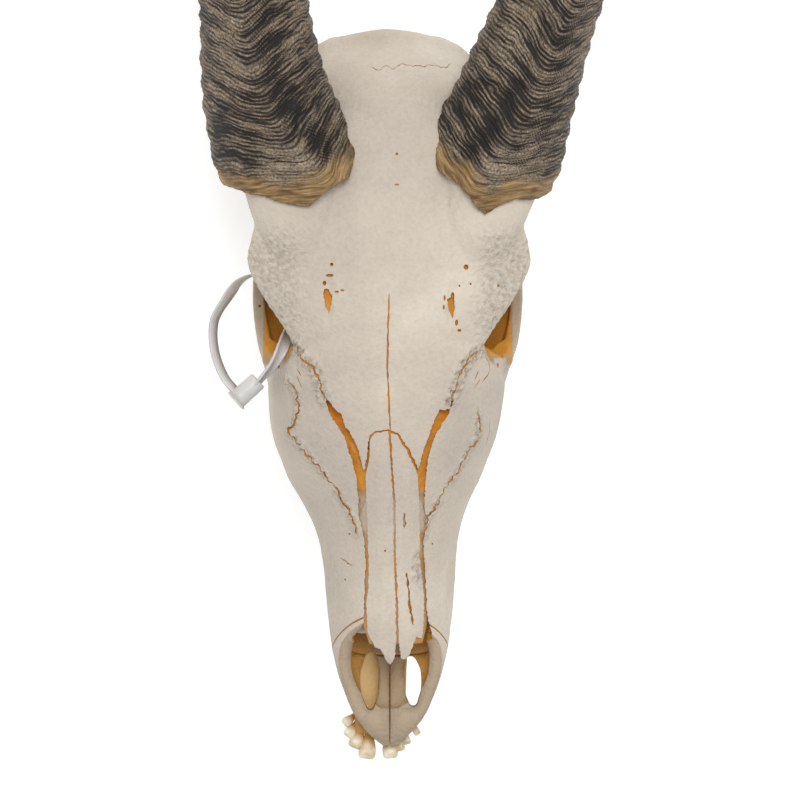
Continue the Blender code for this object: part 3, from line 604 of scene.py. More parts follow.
# The plan outlines of the two nasal bones, from the forehead round to the tip, as x and y.
NASAL_RIGHT = (
    (-0.6, -73.5), (1.1, -95.8), (2.3, -113), (2.9, -147), (4.0, -171), (4.3, -194.5), (3.2, -205),
    (0.9, -208.7), (-1.2, -207), (-4.9, -199.4), (-7.8, -198.8), (-12.1, -190.7), (-13, -174), (-11.8, -165),
    (-11.5, -154), (-12, -136.4), (-12.9, -116), (-13.3, -98.6), (-11.4, -89.5), (-11, -80.4), (-10.2, -76.9),
    (-7.9, -74.7),
)
NASAL_LEFT = (
    (0.9, -74.7), (4.5, -75.8), (6.8, -80.4), (9.6, -84), (13.9, -93.4), (16.5, -98.6), (17.1, -113),
    (17.7, -128), (18.1, -147), (19.3, -156.6), (20.2, -170.4), (19.9, -186.5), (19, -194), (15.6, -193),
    (11.8, -203), (9.8, -205.5), (6.9, -205.5), (5.6, -194.5), (5.2, -171), (4.1, -147), (3.5, -113),
    (2.0, -95.8),
)

# The opening in the roof of the nose that holds the nasal bones, with the slits that stay open beside them.
NOSE_WINDOW = (
    (-35.8, -54.9), (-31.2, -60.5), (-26.7, -64.5), (-24.7, -71.9), (-22.2, -73.9), (-17.9, -83.8),
    (-14.4, -96.3), (-12.5, -89.5), (-12.1, -80), (-11, -76), (-8, -73.7), (-0.6, -72.5), (4.9, -74.6),
    (7.8, -79.4), (10.8, -83.0), (14.9, -92.0), (16.8, -95.2), (19.7, -83.8), (21.9, -78.2), (24.1, -70.8),
    (27, -64.5), (28.4, -61.4), (34.1, -61.4), (35.7, -54.9), (36.2, -57), (33.5, -64.5), (26.1, -75.9),
    (24.1, -82.5), (21.9, -91.2), (21.2, -98.6), (20.7, -105.7), (20.4, -113), (20.9, -120.4), (21.2, -128),
    (20.2, -135.6), (20.2, -145), (20.8, -156.6), (21.5, -168.7), (21.6, -172.7), (22.2, -184), (24, -190),
    (26, -216), (-24, -216), (-22, -194), (-16.4, -188.5), (-14.4, -184), (-13.9, -165.4), (-13.2, -147),
    (-14.6, -134), (-17, -123), (-17.4, -113), (-18.7, -99.7), (-20.8, -91.2), (-25.9, -75.9), (-33.2, -65.1),
    (-35.8, -57.1),
)

# The side view of what is open between the nasal bones and the front of the jaw, as y and z.
NOSE_MOUTH = (
    (-183, 10), (-184, -44), (-190, -54), (-198, -66), (-209, -75), (-222, -82), (-236, -88), (-250, -92.5),
    (-264, -96), (-290, -100), (-290, 10),
)

# The seam in front of which the nose is two bones of its own: its place at the palate, and its lean.
SEAM_BACK = -210.5
SEAM_LEAN = 0.52

# The holes through the palate at the front, as x and y.
FISSURE_RIGHT = (
    (-11, -206), (-6.6, -213), (-6.2, -224), (-8.5, -237), (-11.5, -240.5), (-15, -236), (-17.6, -226),
    (-16.5, -214),
)
FISSURE_LEFT = (
    (12.5, -208.5), (8.6, -212), (8.2, -222), (10.5, -234), (14.2, -238.5), (17.5, -233), (18.9, -223),
    (16.8, -213),
)


def jagged(outline, pitch=1.1, wander=0.28, seed=1):
    """An outline with the small teeth of a suture: points about pitch apart, each a little off the line."""
    draw = random.Random(seed)
    points = []
    for (ax, ay), (bx, by) in zip(outline, outline[1:] + outline[:1]):
        length = math.hypot(bx - ax, by - ay)
        count = max(1, round(length / pitch))
        for i in range(count):
            t = i / count
            off = 0.0 if i == 0 else draw.uniform(-wander, wander)
            x = ax + (bx - ax) * t - (by - ay) / length * off
            y = ay + (by - ay) * t + (bx - ax) / length * off
            points.append((x, y))
    return points


def palate_vault():
    """The hollow of the palate, between the rows of teeth."""
    rows = (
        (-2, -102, -120, -140, 22, 2, 2),
        (-30, -104, -120, -140, 29, 2, 2),
        (-70, -107, -120, -140, 28, 2, 2),
        (-110, -106.5, -120, -140, 24, 2, 2),
        (-150, -103.5, -120, -140, 17, 2, 2),
        (-190, -102, -120, -140, 12, 2, 2),
        (-205, -104, -120, -140, 5, 2, 2),
    )
    return body_loft("vault", rows, 16, sides=24)


# The seams of the bones and the small cracks, as x and y of points along each, seen from above.
MIDLINE = (
    (-0.3, 3.4), (-0.6, -5.6), (-0.9, -16.7), (-1.1, -27.9), (-1.2, -39.1), (-0.6, -50.4), (0.2, -67.3),
    (0.4, -75),
)
BROW_SEAM_RIGHT = (
    (-52.3, -25.3), (-48.2, -34.5), (-43.6, -36.8), (-41.3, -41.3), (-38, -51.5), (-36.9, -55.4),
)
BROW_SEAM_LEFT = ((50.4, -28.8), (45.8, -32.2), (42.3, -36.8), (40.1, -41.9), (36.2, -52.6), (35, -56))
CHEEK_SEAM_RIGHT = (
    (-58.4, -44.6), (-53.8, -50.9), (-51.9, -59.4), (-53.6, -68.6), (-56.8, -73.3), (-55.7, -76.8),
    (-49.7, -83.7), (-43.9, -90.5), (-36.9, -99.1), (-29.4, -108.7), (-26.5, -113.9), (-23.1, -117.9),
    (-19.9, -127), (-18.5, -132.2),
)
CHEEK_SEAM_LEFT = (
    (50.8, -62.9), (52.2, -74.4), (51.1, -79), (45.8, -85.9), (41.2, -95.1), (34.9, -103.7), (29.1, -113.4),
    (25.1, -119.7), (22.2, -123.1), (21, -130), (20, -135),
)
CROWN_SEAM = (
    (-11, 134.4), (-6.4, 132.3), (-1.8, 134.9), (2.7, 133), (7.3, 136.3), (13, 135.1), (19.9, 135.2),
    (26.8, 136.2), (32, 134.6), (36.1, 138.3),
)
CRACKS = (
    ((58.7, -68.1), (59.5, -74.6), (58.4, -79.2), (58, -83.9)),
    ((-53, -37.2), (-50.1, -42.4)),
    ((-52.4, -42.4), (-49.6, -49.2)),
    ((50.7, -39.5), (48.7, -44.6)),
    ((51.7, -44.6), (48.2, -49.7)),
    ((54.6, -30.9), (57, -34.9), (57.5, -40), (52.8, -46.3)),
)

# The slits in the left nasal bone, and a scratch beside the right one.
NASAL_SLITS = (
    ((10.2, -155), (11.2, -163), (12.3, -175), (13.4, -181), (14.2, -186)),
    ((8.4, -120), (8.9, -124), (8.7, -129)),
)
SCRATCH = ((-28, -147.5), (-24, -150), (-21, -152))

# Small holes in the forehead and nose: x, y, half width, half length and depth of each.
PITS = (
    (-32.5, 19.9, 0.9, 1.0, 3), (-33.6, 13.8, 2.3, 0.8, 2.4), (-36.5, 9.6, 1.0, 1.3, 3),
    (-35.4, 5.2, 1.6, 1.3, 2.8), (-29.7, 4.6, 1.3, 0.6, 1.6), (-26.5, 5.4, 1.2, 0.5, 1.4),
    (42.9, 18.6, 1.4, 1.5, 3), (39.2, 8.1, 0.6, 0.6, 1.6), (61.5, 8.6, 0.6, 0.6, 1.6),
    (45.5, 9.2, 0.6, 0.6, 1.6), (35.4, 2.4, 1.0, 2.2, 3), (30.8, 1.2, 0.6, 1.6, 1.5),
    (30.4, -4, 0.6, 1.4, 1.5), (37.7, -12.5, 0.9, 1.8, 2.2), (39.4, -16.8, 1.3, 0.8, 2),
    (3.9, 81.9, 0.7, 0.7, 1.8), (3.9, 64.5, 1.4, 0.5, 0.9), (-2.2, -142, 0.6, 0.6, 1.6),
    (-25.6, -160, 0.6, 0.6, 1.4), (-22.5, -133, 0.6, 0.6, 1.4), (25.2, -139, 0.6, 0.6, 1.4),
    (-17, -244, 0.7, 0.7, 1.6), (-13.5, -248, 0.6, 0.6, 1.4), (10, -244, 0.7, 0.7, 1.6),
    (14.5, -246, 0.6, 0.6, 1.4), (-6, -243, 0.6, 0.6, 1.2), (66, -31, 1.5, 1.0, 2), (63, -36, 1.0, 1.3, 2),
    (-63, -37, 1.2, 1.0, 2), (-75, -1, 0.9, 0.9, 2),
)

# Wedge-shaped recesses below the holes of the forehead, as x and y, and their depth.
RECESS_DEPTH = 2.2
RECESSES = (
    ((-37.4, 4.0), (-34.5, 5.0), (-32.2, 2.6), (-32.8, -2.4), (-34.2, -7.6), (-35.8, -3.0)),
    ((32.2, 0.5), (34.2, 1.6), (36.2, 0.4), (36.4, -5.0), (35.4, -10.2), (33.4, -5.0)),
)

# Shallow hollows round those holes: x, y, half width, half length, depth.
DIMPLES = (
    (-34.5, 8, 4.6, 11, 1.6), (-34.6, -5.5, 4.0, 8.5, 1.8), (34.4, -6, 4.2, 9.5, 1.8), (35.5, 5, 4.2, 7, 1.3),
)


def surface_finder(obj):
    """Finds the bone's surface straight below a place: its spot and its outward way, in millimetres."""
    bm = bmesh.new()
    bm.from_mesh(obj.data)
    tree = BVHTree.FromBMesh(bm)
    bm.free()

    def find(x, y):
        spot, way, _, _ = tree.ray_cast(Vector((x * MM, y * MM, 0.2)), Vector((0, 0, -1)))
        return spot / MM, way

    return find


def wandering(line, pitch, wander, draw):
    """Points along a line at an even pitch, each moved a little off it, as a seam of bones wanders."""
    keys = [(float(i), *point) for i, point in enumerate(line)]
    dense = [Vector(smooth_between(keys, t)) for t in steps(0.0, len(line) - 1.0, len(line) * 24)]
    points, gone = [dense[0]], 0.0
    for before, spot, after in zip(dense, dense[1:], dense[2:]):
        gone += (spot - before).length
        if gone < pitch:
            continue
        gone = 0.0
        run = (after - before).normalized()
        points.append(spot + Vector((-run.y, run.x)) * wander * draw.uniform(-1.0, 1.0))
    points.append(dense[-1])
    return points


def seam(find, line, width, depth, pitch=1.5, wander=0.6, seed=1):
    """A cutter that follows a line over the bone: narrow, as deep as told, and thinner at its ends."""
    draw = random.Random(seed)
    points = wandering(line, pitch, wander, draw)
    rings = []
    for i, point in enumerate(points):
        spot, up = find(*point)
        before, after = points[max(i - 1, 0)], points[min(i + 1, len(points) - 1)]
        run = Vector((*(after - before), 0)).normalized()
        across = run.cross(up).normalized()
        ends = min(1.0, 0.35 + 0.3 * min(i, len(points) - 1 - i))
        half = across * width / 2 * ends * draw.uniform(0.35, 1.45)
        low, high = spot - up * depth * ends * draw.uniform(0.5, 1.1), spot + up * 2.0
        rings.append([low - half, low + half, high + half, high - half])
    return loft("seam", rings)


def pit(find, x, y, wide, long, depth):
    """A cutter for one small hole."""
    return ball("pit", find(x, y)[0], (wide, long, depth), fine=14)


def recess(find, outline):
    """A cutter with a flat floor a little under the surface."""
    middle_x = sum(x for x, _ in outline) / len(outline)
    middle_y = sum(y for _, y in outline) / len(outline)
    level = find(middle_x, middle_y)[0].z
    return prism("recess", jagged(outline, 1.0, 0.25, seed=17), level - RECESS_DEPTH, level + 4)


def seams_and_pits(find):
    """Every seam, crack and small hole of the upper skull, as one cutter."""
    cutters = [seam(find, MIDLINE, 0.85, 1.5, 2.4, 0.16, 3)]
    cutters += [seam(find, line, 0.7, 1.2, 1.3, 0.7, 4) for line in (BROW_SEAM_RIGHT, BROW_SEAM_LEFT)]
    cutters += [seam(find, line, 0.9, 1.7, 1.7, 0.95, 5) for line in (CHEEK_SEAM_RIGHT, CHEEK_SEAM_LEFT)]
    cutters.append(seam(find, CROWN_SEAM, 0.55, 0.9, 1.3, 0.7, 6))
    cutters += [seam(find, line, 0.9, 1.8, 2.0, 0.15, 7 + i) for i, line in enumerate(CRACKS)]
    cutters += [seam(find, line, 1.5, 3.2, 1.5, 0.35, 21 + i) for i, line in enumerate(NASAL_SLITS)]
    cutters.append(seam(find, SCRATCH, 0.7, 1.3, 1.2, 0.5, 33))
    cutters += [pit(find, *row) for row in PITS]
    cutters += [recess(find, outline) for outline in RECESSES]
    return fused("seams", cutters, SEAM_VOXEL, 0)


def near_line(spot, line):
    """How far a point is from a line of x and y, in millimetres, seen from above."""
    best = 1e9
    for (ax, ay), (bx, by) in zip(line, line[1:]):
        dx, dy = bx - ax, by - ay
        t = max(0.0, min(1.0, ((spot.x - ax) * dx + (spot.y - ay) * dy) / (dx * dx + dy * dy)))
        best = min(best, math.hypot(spot.x - ax - dx * t, spot.y - ay - dy * t))
    return best


def fade(value, full, none):
    """1 where a value is at full, 0 where it is at none, and smooth between."""
    t = max(0.0, min(1.0, (value - none) / (full - none)))
    return t * t * (3 - 2 * t)


def roughness_at(spot):
    """How coarse the bone is at a place: crumbly along the seams of the brow, pebbly on the brows."""
    if spot.z < -75 or spot.y < -175:
        return 0.0, 0.0
    band = 0.0
    if spot.y < -15:
        for line in (BROW_SEAM_RIGHT, BROW_SEAM_LEFT):
            band = max(band, fade(near_line(spot, line), 2.0, 6.0))
        for line in (CHEEK_SEAM_RIGHT[9:], CHEEK_SEAM_LEFT[6:], CHEEK_SEAM_RIGHT[:9], CHEEK_SEAM_LEFT[:6]):
            band = max(band, 0.75 * fade(near_line(spot, line), 1.0, 4.0))
        band = max(band, 0.8 * fade(math.hypot(spot.x - 17, (spot.y + 152) * 0.35), 2.0, 6.0))
    brow = fade(abs(spot.x), 62, 38) * fade(abs(spot.y - 2), 26, 46) * fade(spot.z, -30, -50)
    return band, brow


# The rounded backs of the nasal bones: the middle of each, its half width, and how far it stands out.
NASAL_SWELLS = ((-4.6, 7.6, 1.5), (11.4, 6.6, 1.0))


def brow_ridges(spot):
    """Fine ridges that run out across each brow, from 1 on a ridge to -1 in a groove."""
    across = 0.62 * spot.y + 0.78 * abs(spot.x) * 0.35
    bend = 3.0 * noise.noise(spot * 0.07)
    return math.sin(across * 2.1 + bend) * (0.5 + 0.5 * noise.noise(spot * 0.13))


def dimpled(mesh):
    """Presses the shallow hollows into the forehead, and rounds the backs of the nasal bones."""
    for vert in mesh.vertices:
        spot = vert.co / MM
        if spot.z < -62:
            continue
        along = fade(spot.y, -92, -74) * fade(spot.y, -200, -215)
        for middle, wide, rise in NASAL_SWELLS:
            away = (spot.x - middle) / wide
            if abs(away) < 1 and along > 0:
                vert.co.z += rise * (1 - away * away) ** 2 * along * MM
        if spot.z < -40:
            continue
        for x, y, wide, long, depth in DIMPLES:
            away = math.hypot((spot.x - x) / wide, (spot.y - y) / long)
            if away < 1:
                vert.co.z -= depth * (1 - away * away) ** 2 * MM


def skull_openings():
    """The sockets and holes of the skull."""
    orbit = ball("orbit", ORBIT_CENTRE, ORBIT_RADII, turn=(0, 0, 14), fine=48)
    foramen = limb("foramen", [((0, 170, -98), 11, 12), ((0, 150, -95), 11, 12), ((0, 128, -90), 9, 10)])
    choana = limb("choana", [((0, -8, -116), 10, 6), ((0, 14, -112), 11, 12), ((0, 34, -112), 8, 9)])
    meatus = limb("meatus", [((75, 97, -84), 2.2, 2.2), ((50, 98, -86), 2.0, 2.0)])
    return [*both_sides([orbit, meatus]), foramen, choana, palate_vault()]


def whole_cranium():
    """Every bone of the upper skull as one body, before the seams are cut."""
    sided = [cheek_arch(), *orbit_bars(), *temple()]
    pieces = [body_loft("body", BODY, 110, sides=72), forehead_plate(), nuchal_crest()]
    pieces += [*both_sides(sided), pedicle("left"), pedicle("right")]
    whole = fused("whole", pieces, rounds=12)
    combined(whole, skull_openings())
    return softened(whole, VOXEL, 5)


def nose_block(name, low_x, high_x, back):
    """A box round the front of the muzzle, with a rear face that leans as the seam of the bones does."""
    bm = bmesh.new()
    bmesh.ops.create_cube(bm, size=1.0)
    for vert in bm.verts:
        z = -60 + 160 * vert.co.z
        y = back + SEAM_LEAN * (z + 100) if vert.co.y > 0 else -320
        vert.co = Vector((low_x if vert.co.x < 0 else high_x, y, z))
    return mesh_object(bm, name)


# How much the walls that a cutter leaves are stained, by the material slot that they keep until the end.
STAIN_LEVELS = (0.0, 1.0, 0.3, 0.85)


def stained(cutters, slot=1):
    """Gives cutters their own material slot, so that the walls they leave are told from the old surface."""
    for cutter in cutters:
        for _ in STAIN_LEVELS:
            cutter.data.materials.append(None)
        for face in cutter.data.polygons:
            face.material_index = slot
    return cutters


def upper_skull():
    """Cuts the whole cranium into its bones."""
    whole = whole_cranium()
    dimpled(whole.data)
    weathered(whole, skull_stain, seams=True)
    for _ in STAIN_LEVELS:
        whole.data.materials.append(None)
    combined(whole, stained([seams_and_pits(surface_finder(whole))]))
    shell = combined(copied(whole, "shell"), stained([body_loft("cavity", NOSE_CAVITY, 50)]))
    nasals = []
    for seed, side, outline in ((11, "left", NASAL_LEFT), (12, "right", NASAL_RIGHT)):
        edge = prism("edge", jagged(outline, seed=seed), -75, 20)
        nasals.append(combined(copied(shell, f"nasal_{side}"), stained([edge]), "INTERSECT"))
    window = prism("window", jagged(NOSE_WINDOW, 1.2, 0.4, seed=13), -64, 20)
    mouth = prism("mouth", NOSE_MOUTH, -80, 80, flat="X")
    holes = (FISSURE_LEFT, FISSURE_RIGHT)
    fissures = [prism("fissure", outline, -125, -80, kind="BEZIER") for outline in holes]
    combined(shell, stained([window]))
    combined(shell, stained([mouth, *fissures], 2))
    fronts = []
    for side, low, high in (("left", SEAM / 2, 90), ("right", -90, -SEAM / 2)):
        room = nose_block("room", low, high, SEAM_BACK - SEAM / 2)
        fronts.append(combined(copied(shell, f"premaxilla_{side}"), stained([room], 3), "INTERSECT"))
    combined(shell, stained([nose_block("front", -100, 100, SEAM_BACK + SEAM / 2)], 3))
    shell.name = "cranium_bone"
    removed([whole])
    return [largest_piece(obj) for obj in (shell, *nasals, *fronts)]


# The lower jaw from the side, as y and z, and its middle line and half thickness along y.
JAW_OUTLINE = (
    (-257, -108), (-254, -113), (-240, -118), (-205, -121), (-175, -124), (-150, -129), (-120, -139),
    (-80, -151), (-40, -161), (-10, -167), (10, -177), (30, -193), (48, -200), (64, -195), (73, -180),
    (74, -155), (71, -125), (74, -100), (73, -88), (64, -86), (55, -92), (50, -80), (52, -64), (55, -53),
    (51, -46), (44, -49), (33, -64), (24, -85), (15, -107), (6, -118), (-10, -123), (-60, -124),
    (-116, -123), (-128, -119), (-160, -112), (-200, -108.5), (-235, -106.5), (-250, -106),
)
JAW_PLAN = (
    (-262, 6.5, 6), (-235, 7.5, 6), (-205, 9, 5.5), (-175, 14, 4.5), (-150, 19, 5), (-120, 26, 6.5),
    (-80, 31, 8), (-40, 35, 8.5), (0, 41, 7), (30, 48, 3.8), (60, 53, 3.4), (80, 54, 4.5),
)
JAW_FLAT = 4.0

# The front teeth of each side of the jaw, from the middle outward: x and y of neck and edge, and width.
INCISORS = {
    "right": (
        (-12, -257, -13.8, -270.9, 10.3), (-17.2, -255, -21.4, -264.4, 8.6),
        (-20.5, -251.5, -25.3, -257.6, 7), (-22, -246.5, -27, -250.4, 6.2),
    ),
    "left": (
        (-0.4, -257, 0.8, -270.7, 9.2), (4.6, -256.5, 6.9, -266.3, 6),
        (8.6, -255, 10.9, -262.3, 5), (14, -250.5, 17.2, -256.8, 4.4),
    ),
}
NECK_LEVEL = -110.0
EDGE_LEVEL = -105.2


def incisors(side):
    """The four front teeth of one side, fanned round the tip of the jaw."""
    teeth, root = [], []
    for number, (neck_x, neck_y, edge_x, edge_y, width) in enumerate(INCISORS[side]):
        neck = Vector((neck_x, neck_y, NECK_LEVEL - 0.7 * number))
        edge = Vector((edge_x, edge_y, EDGE_LEVEL - 0.7 * number))
        across = (edge - neck).cross(Vector((0, 0, 1))).normalized()
        upright = across.cross(edge - neck).normalized()
        rings = []
        for share, wide, thick in (
            (-1.0, 0.20, 2.0), (-0.4, 0.23, 2.3), (0.0, 0.27, 2.5), (0.2, 0.34, 2.7), (0.42, 0.44, 2.7),
            (0.62, 0.5, 2.5), (0.8, 0.5, 2.1), (0.92, 0.46, 1.7), (0.98, 0.38, 1.2), (1.0, 0.28, 0.7),
        ):
            centre = neck.lerp(edge, share)
            ring = []
            for k in range(28):
                angle = math.pi * k / 14
                side_way = math.copysign(abs(math.cos(angle)) ** 0.65, math.cos(angle))
                up_way = math.copysign(abs(math.sin(angle)) ** 0.8, math.sin(angle))
                ring.append(centre + across * width * wide * side_way + upright * thick * up_way)
                root.append(fade(share, 0.25, 0.6))
            rings.append(ring)
        teeth.append(loft(f"incisor_{number}", rings))
    whole = joined(f"incisors_{side}", teeth)
    store(whole.data, "root", root)
    return whole


def jaw_half():
    """The left half of the lower jaw."""
    side = softened(prism("jaw_side", JAW_OUTLINE, -JAW_FLAT, JAW_FLAT, "X", "BEZIER"), 1.2, 5)
    for vert in side.data.vertices:
        middle, thick = smooth_between(JAW_PLAN, vert.co.y / MM)
        vert.co.x = middle * MM + vert.co.x / JAW_FLAT * thick
    stations = [((42, 67, -88), 5, 4), ((51, 68, -87), 6.5, 5), ((61, 66, -87), 6, 4.5)]
    joint = limb("jaw_joint", stations, sides=14)
    return fused("jaw", [side, joint], rounds=8)


def lower_jaw():
    """Both halves of the lower jaw with their teeth, a little apart at the front and turned as one."""
    bone = jaw_half()
    weathered(bone, jaw_stain)
    teeth = tooth_row("teeth", LOWER_TEETH, BITE - BITE_GAP / 2, -140, outer=1)
    turn = Matrix.Translation((0, 62 * MM, 0)) @ Matrix.Rotation(math.radians(-JAW_TURN), 4, "Z")
    turn = turn @ Matrix.Translation((0, -62 * MM, 0))
    out = {}
    for kind, piece in (("jaw", bone), ("lower_teeth", teeth)):
        other = mirrored(piece)
        for half, side, sign in ((piece, "left", 1), (other, "right", -1)):
            half.name = f"{kind}_{side}"
            half.data.transform(turn @ Matrix.Translation((sign * JAW_HALF_GAP * MM, 0, 0)))
            out[half.name] = half
    for side in ("left", "right"):
        out[f"incisors_{side}"] = incisors(side)
    return out


# A horn: where its middle line leaves the forehead, its turn outward and its rise along it, and its size.
HORN_BASE = {"left": (57.0, 77.0, -19.0), "right": (-53.5, 77.0, -19.0)}
HORN_SPREAD = {
    "left": ((0.0, 24), (0.04, 21), (0.07, 19), (0.13, 20.5)),
    "right": ((0.0, 32), (0.045, 18), (0.08, 8), (0.13, 7)),
}
HORN_TURN = ((0.3, 20), (0.5, 14), (0.7, -4), (0.88, -14), (1.0, -6))
HORN_RISE = ((0.0, 16), (0.15, 10), (0.35, -2), (0.6, -3), (0.8, 9), (1.0, 26))
HORN_SIZES = (
    (-0.06, 72, 73), (0.0, 75.5, 75), (0.02, 76.5, 76), (0.045, 71, 74), (0.08, 65, 70), (0.12, 59, 66),
    (0.2, 56, 62), (0.35, 52, 57), (0.5, 46, 50), (0.7, 35, 38), (0.85, 24, 26), (0.95, 12.5, 13.5),
    (1.0, 3, 3),
)
HORN_GIRTH = {"left": 0.975, "right": 1.03}
HORN_BACK = 42.0
HORN_POINTS = 90

# How far round from the horn's outer side its keel is, on the left horn: a share of its length, and degrees.
HORN_KEEL = ((-0.06, 106), (0.0, 92), (0.05, 79), (0.09, 74), (0.14, 66), (0.3, 20), (0.6, -110), (1.0, -290))

# What the base of a sheath is cut to, seen from above as x and y; the cut slants back as it goes down.
HORN_RIM = {
    "left": (
        (120, 40), (88, 49), (79, 50.5), (70, 54.5), (61, 51.5), (53, 46.5), (49, 50), (44, 58.5), (38, 63.5),
        (31, 66.5), (26, 68), (22, 77), (0, 110), (0, -40), (120, -40),
    ),
    "right": (
        (-120, 46), (-88, 55), (-77, 54), (-70, 55.5), (-61, 53.5), (-50, 51.5), (-45, 52), (-41, 56.5),
        (-37, 60), (-33, 62.5), (-27, 65.5), (-22.4, 66), (-19, 77), (0, 110), (0, -40), (-120, -40),
    ),
}
RIM_SLANT = 0.45
RIM_LEVEL = 12.0
SHEATH_WALL = 3.4
SHEATH_DEPTH = 62.0


def horn_route(side):
    """Points down the middle of a horn, from inside its root to its tip, with how far along each is."""
    sign = 1 if side == "left" else -1
    spread = (*HORN_SPREAD[side], *HORN_TURN)
    count = HORN_POINTS
    points = [Vector(HORN_BASE[side])]
    for i in range(count - 1):
        t = (i + 0.5) / (count - 1)
        out = math.radians(smooth_between(spread, t)[0])
        up = math.radians(smooth_between(HORN_RISE, t)[0])
        ahead = Vector((sign * math.sin(out) * math.cos(up), math.cos(out) * math.cos(up), math.sin(up)))
        points.append(points[-1] + ahead * HORN_LENGTH / (count - 1))
    back = (points[1] - points[0]).normalized() * HORN_BACK
    route = [(-HORN_BACK / HORN_LENGTH, points[0] - back)]
    return route + [(i / (count - 1), point) for i, point in enumerate(points)]


def keel_turn(side, t, angle):
    """How far round from the horn's keel an angle is; the keel winds round the horn as it goes out."""
    keel = math.radians(smooth_between(HORN_KEEL, t)[0])
    if side == "right":
        keel = math.pi - keel - 0.15
    return math.remainder(angle - keel, 2 * math.pi)


def horn_section(side, t, angle):
    """How far the sheath's surface is from its middle, as a share of its half size: a keeled triangle."""
    turn = keel_turn(side, t, angle)
    corner = 0.045 * math.cos(3 * turn)
    ridge = 0.05 * math.exp(-((turn / 0.30) ** 2))
    return 1 + (corner + ridge) * min(1.0, 3.0 * (1 - t))


# How the rings of growth dip towards the base at the keel, in millimetres and radians.
RING_DIP = 25.0
RING_DIP_WIDTH = 0.75


def ring_place(side, t, angle, spot):
    """Where a point lies in the horn's growth: millimetres from the base, by rings that dip at the keel."""
    turn = keel_turn(side, t, angle)
    dip = RING_DIP * math.exp(-math.sqrt(turn * turn + 0.02) / RING_DIP_WIDTH) * min(1.0, 1.6 * (1 - t))
    warp = 2.6 * noise.noise(spot * 0.035) + 0.9 * noise.noise(spot * 0.14)
    return t * HORN_LENGTH + dip + warp


def ring_relief(grown, spot):
    """How far the rings stand out at a place in the growth, in millimetres, and how near a crest is."""
    share = max(0.0, min(1.0, 1.25 - grown / 420))
    swell = math.sin(2 * math.pi * grown / 11.5 + 2.2 * noise.noise(spot * 0.05))
    fine = math.sin(2 * math.pi * grown / 2.3 + 3.0 * noise.noise(spot * 0.12))
    rough = 0.26 * noise.noise(spot * 0.55) + 0.6 * noise.noise(spot * 0.06)
    rings = 0.6 * swell + 0.3 * fine * (0.7 + 0.5 * noise.noise(spot * 0.09))
    crest = 0.5 + 0.5 * (0.3 * swell + 0.7 * fine) * share
    return rings * share + rough * (0.35 + 0.65 * share), crest


def furrow(side, t, angle):
    """How deep a place lies in the dark furrow that runs up beside the keel from the notch in the rim."""
    turn = keel_turn(side, t, angle)
    inward = -turn if side == "right" else turn
    return math.exp(-(((inward - 0.32) / 0.2) ** 2)) * fade(t, 0.05, 0.14)


def horn_surface(side, places, sides, shrink=0.0, relief=True):
    """Rings of points round a horn at places along it, with where each lies in the horn's growth."""
    route = horn_route(side)
    keys = [(t, *point) for t, point in route]
    loops, growth = [], []
    for t in places:
        centre = Vector(smooth_between(keys, t))
        ahead = Vector(smooth_between(keys, min(t + 0.004, 1.0)))
        behind = Vector(smooth_between(keys, max(t - 0.004, keys[0][0])))
        along = (ahead - behind).normalized()
        across = along.cross(Vector((0, 0, 1))).normalized()
        up = across.cross(along)
        wide, deep = smooth_between(HORN_SIZES, t)
        loop, grown = [], []
        for k in range(sides):
            angle = 2 * math.pi * k / sides
            reach = horn_section(side, t, angle) * HORN_GIRTH[side] / 2
            out = across * wide * math.cos(angle) + up * deep * math.sin(angle)
            spot = centre + out * reach
            place = ring_place(side, t, angle, spot)
            crest = 0.5
            if relief:
                lift, crest = ring_relief(place, spot)
                crest -= 0.45 * furrow(side, t, angle)
                lift -= 1.6 * furrow(side, t, angle)
                spot = spot + out.normalized() * lift * min(1.0, 12 * (1 - t))
            spot = spot - out.normalized() * shrink
            loop.append(spot)
            grown.append((out.x * reach * MM, out.z * reach * MM, place * MM, crest))
        loops.append(loop)
        growth.append(grown)
    return loops, growth


def horn_sheath(side):
    """A sheath with rings of growth, hollow at its base, where it sits over the horn's bony root."""
    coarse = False
    start = -HORN_BACK / HORN_LENGTH
    near = steps(start, 0.2, 130 if coarse else 300)
    far = steps(0.2, 1.0, 160 if coarse else 340)[1:]
    loops, growth = horn_surface(side, near + far, 80 if coarse else 168)
    sheath = loft(f"horn_{side}", loops)
    grown = sheath.data.attributes.new("growth", "FLOAT_VECTOR", "POINT")
    grown.data.foreach_set("vector", [value for ring in growth for point in ring for value in point[:3]])
    store(sheath.data, "crest", [point[3] for ring in growth for point in ring])
    rim = prism("rim", jagged(HORN_RIM[side], 1.5, 0.3, seed=31), -140, 140)
    for vert in rim.data.vertices:
        vert.co.y += RIM_SLANT * (RIM_LEVEL * MM - vert.co.z)
    places = steps(start - 0.004, SHEATH_DEPTH / HORN_LENGTH, 30)
    inner, _ = horn_surface(side, places, 60, SHEATH_WALL, relief=False)
    combined(sheath, [rim, loft("inner", inner)])
    return largest_piece(sheath)


# The middle of the strap's loop round the cheek arch, from its end in the lock back to the lock.
STRAP_ROUTE = (
    (-79, -50.5, -45), (-73, -44, -41), (-66, -36, -35), (-61.8, -28.4, -33.6), (-57.6, -18, -42),
    (-53, -7, -53), (-52, 6, -63), (-56.5, 15, -76), (-65, 19, -87), (-76, 19, -88), (-87, 13, -78),
    (-95, 2, -65), (-101, -11, -56), (-100.5, -27, -51), (-95, -42, -47), (-87, -52, -46),
)
STRAP_LEAN = Vector((-0.45, -0.25, 0.85))
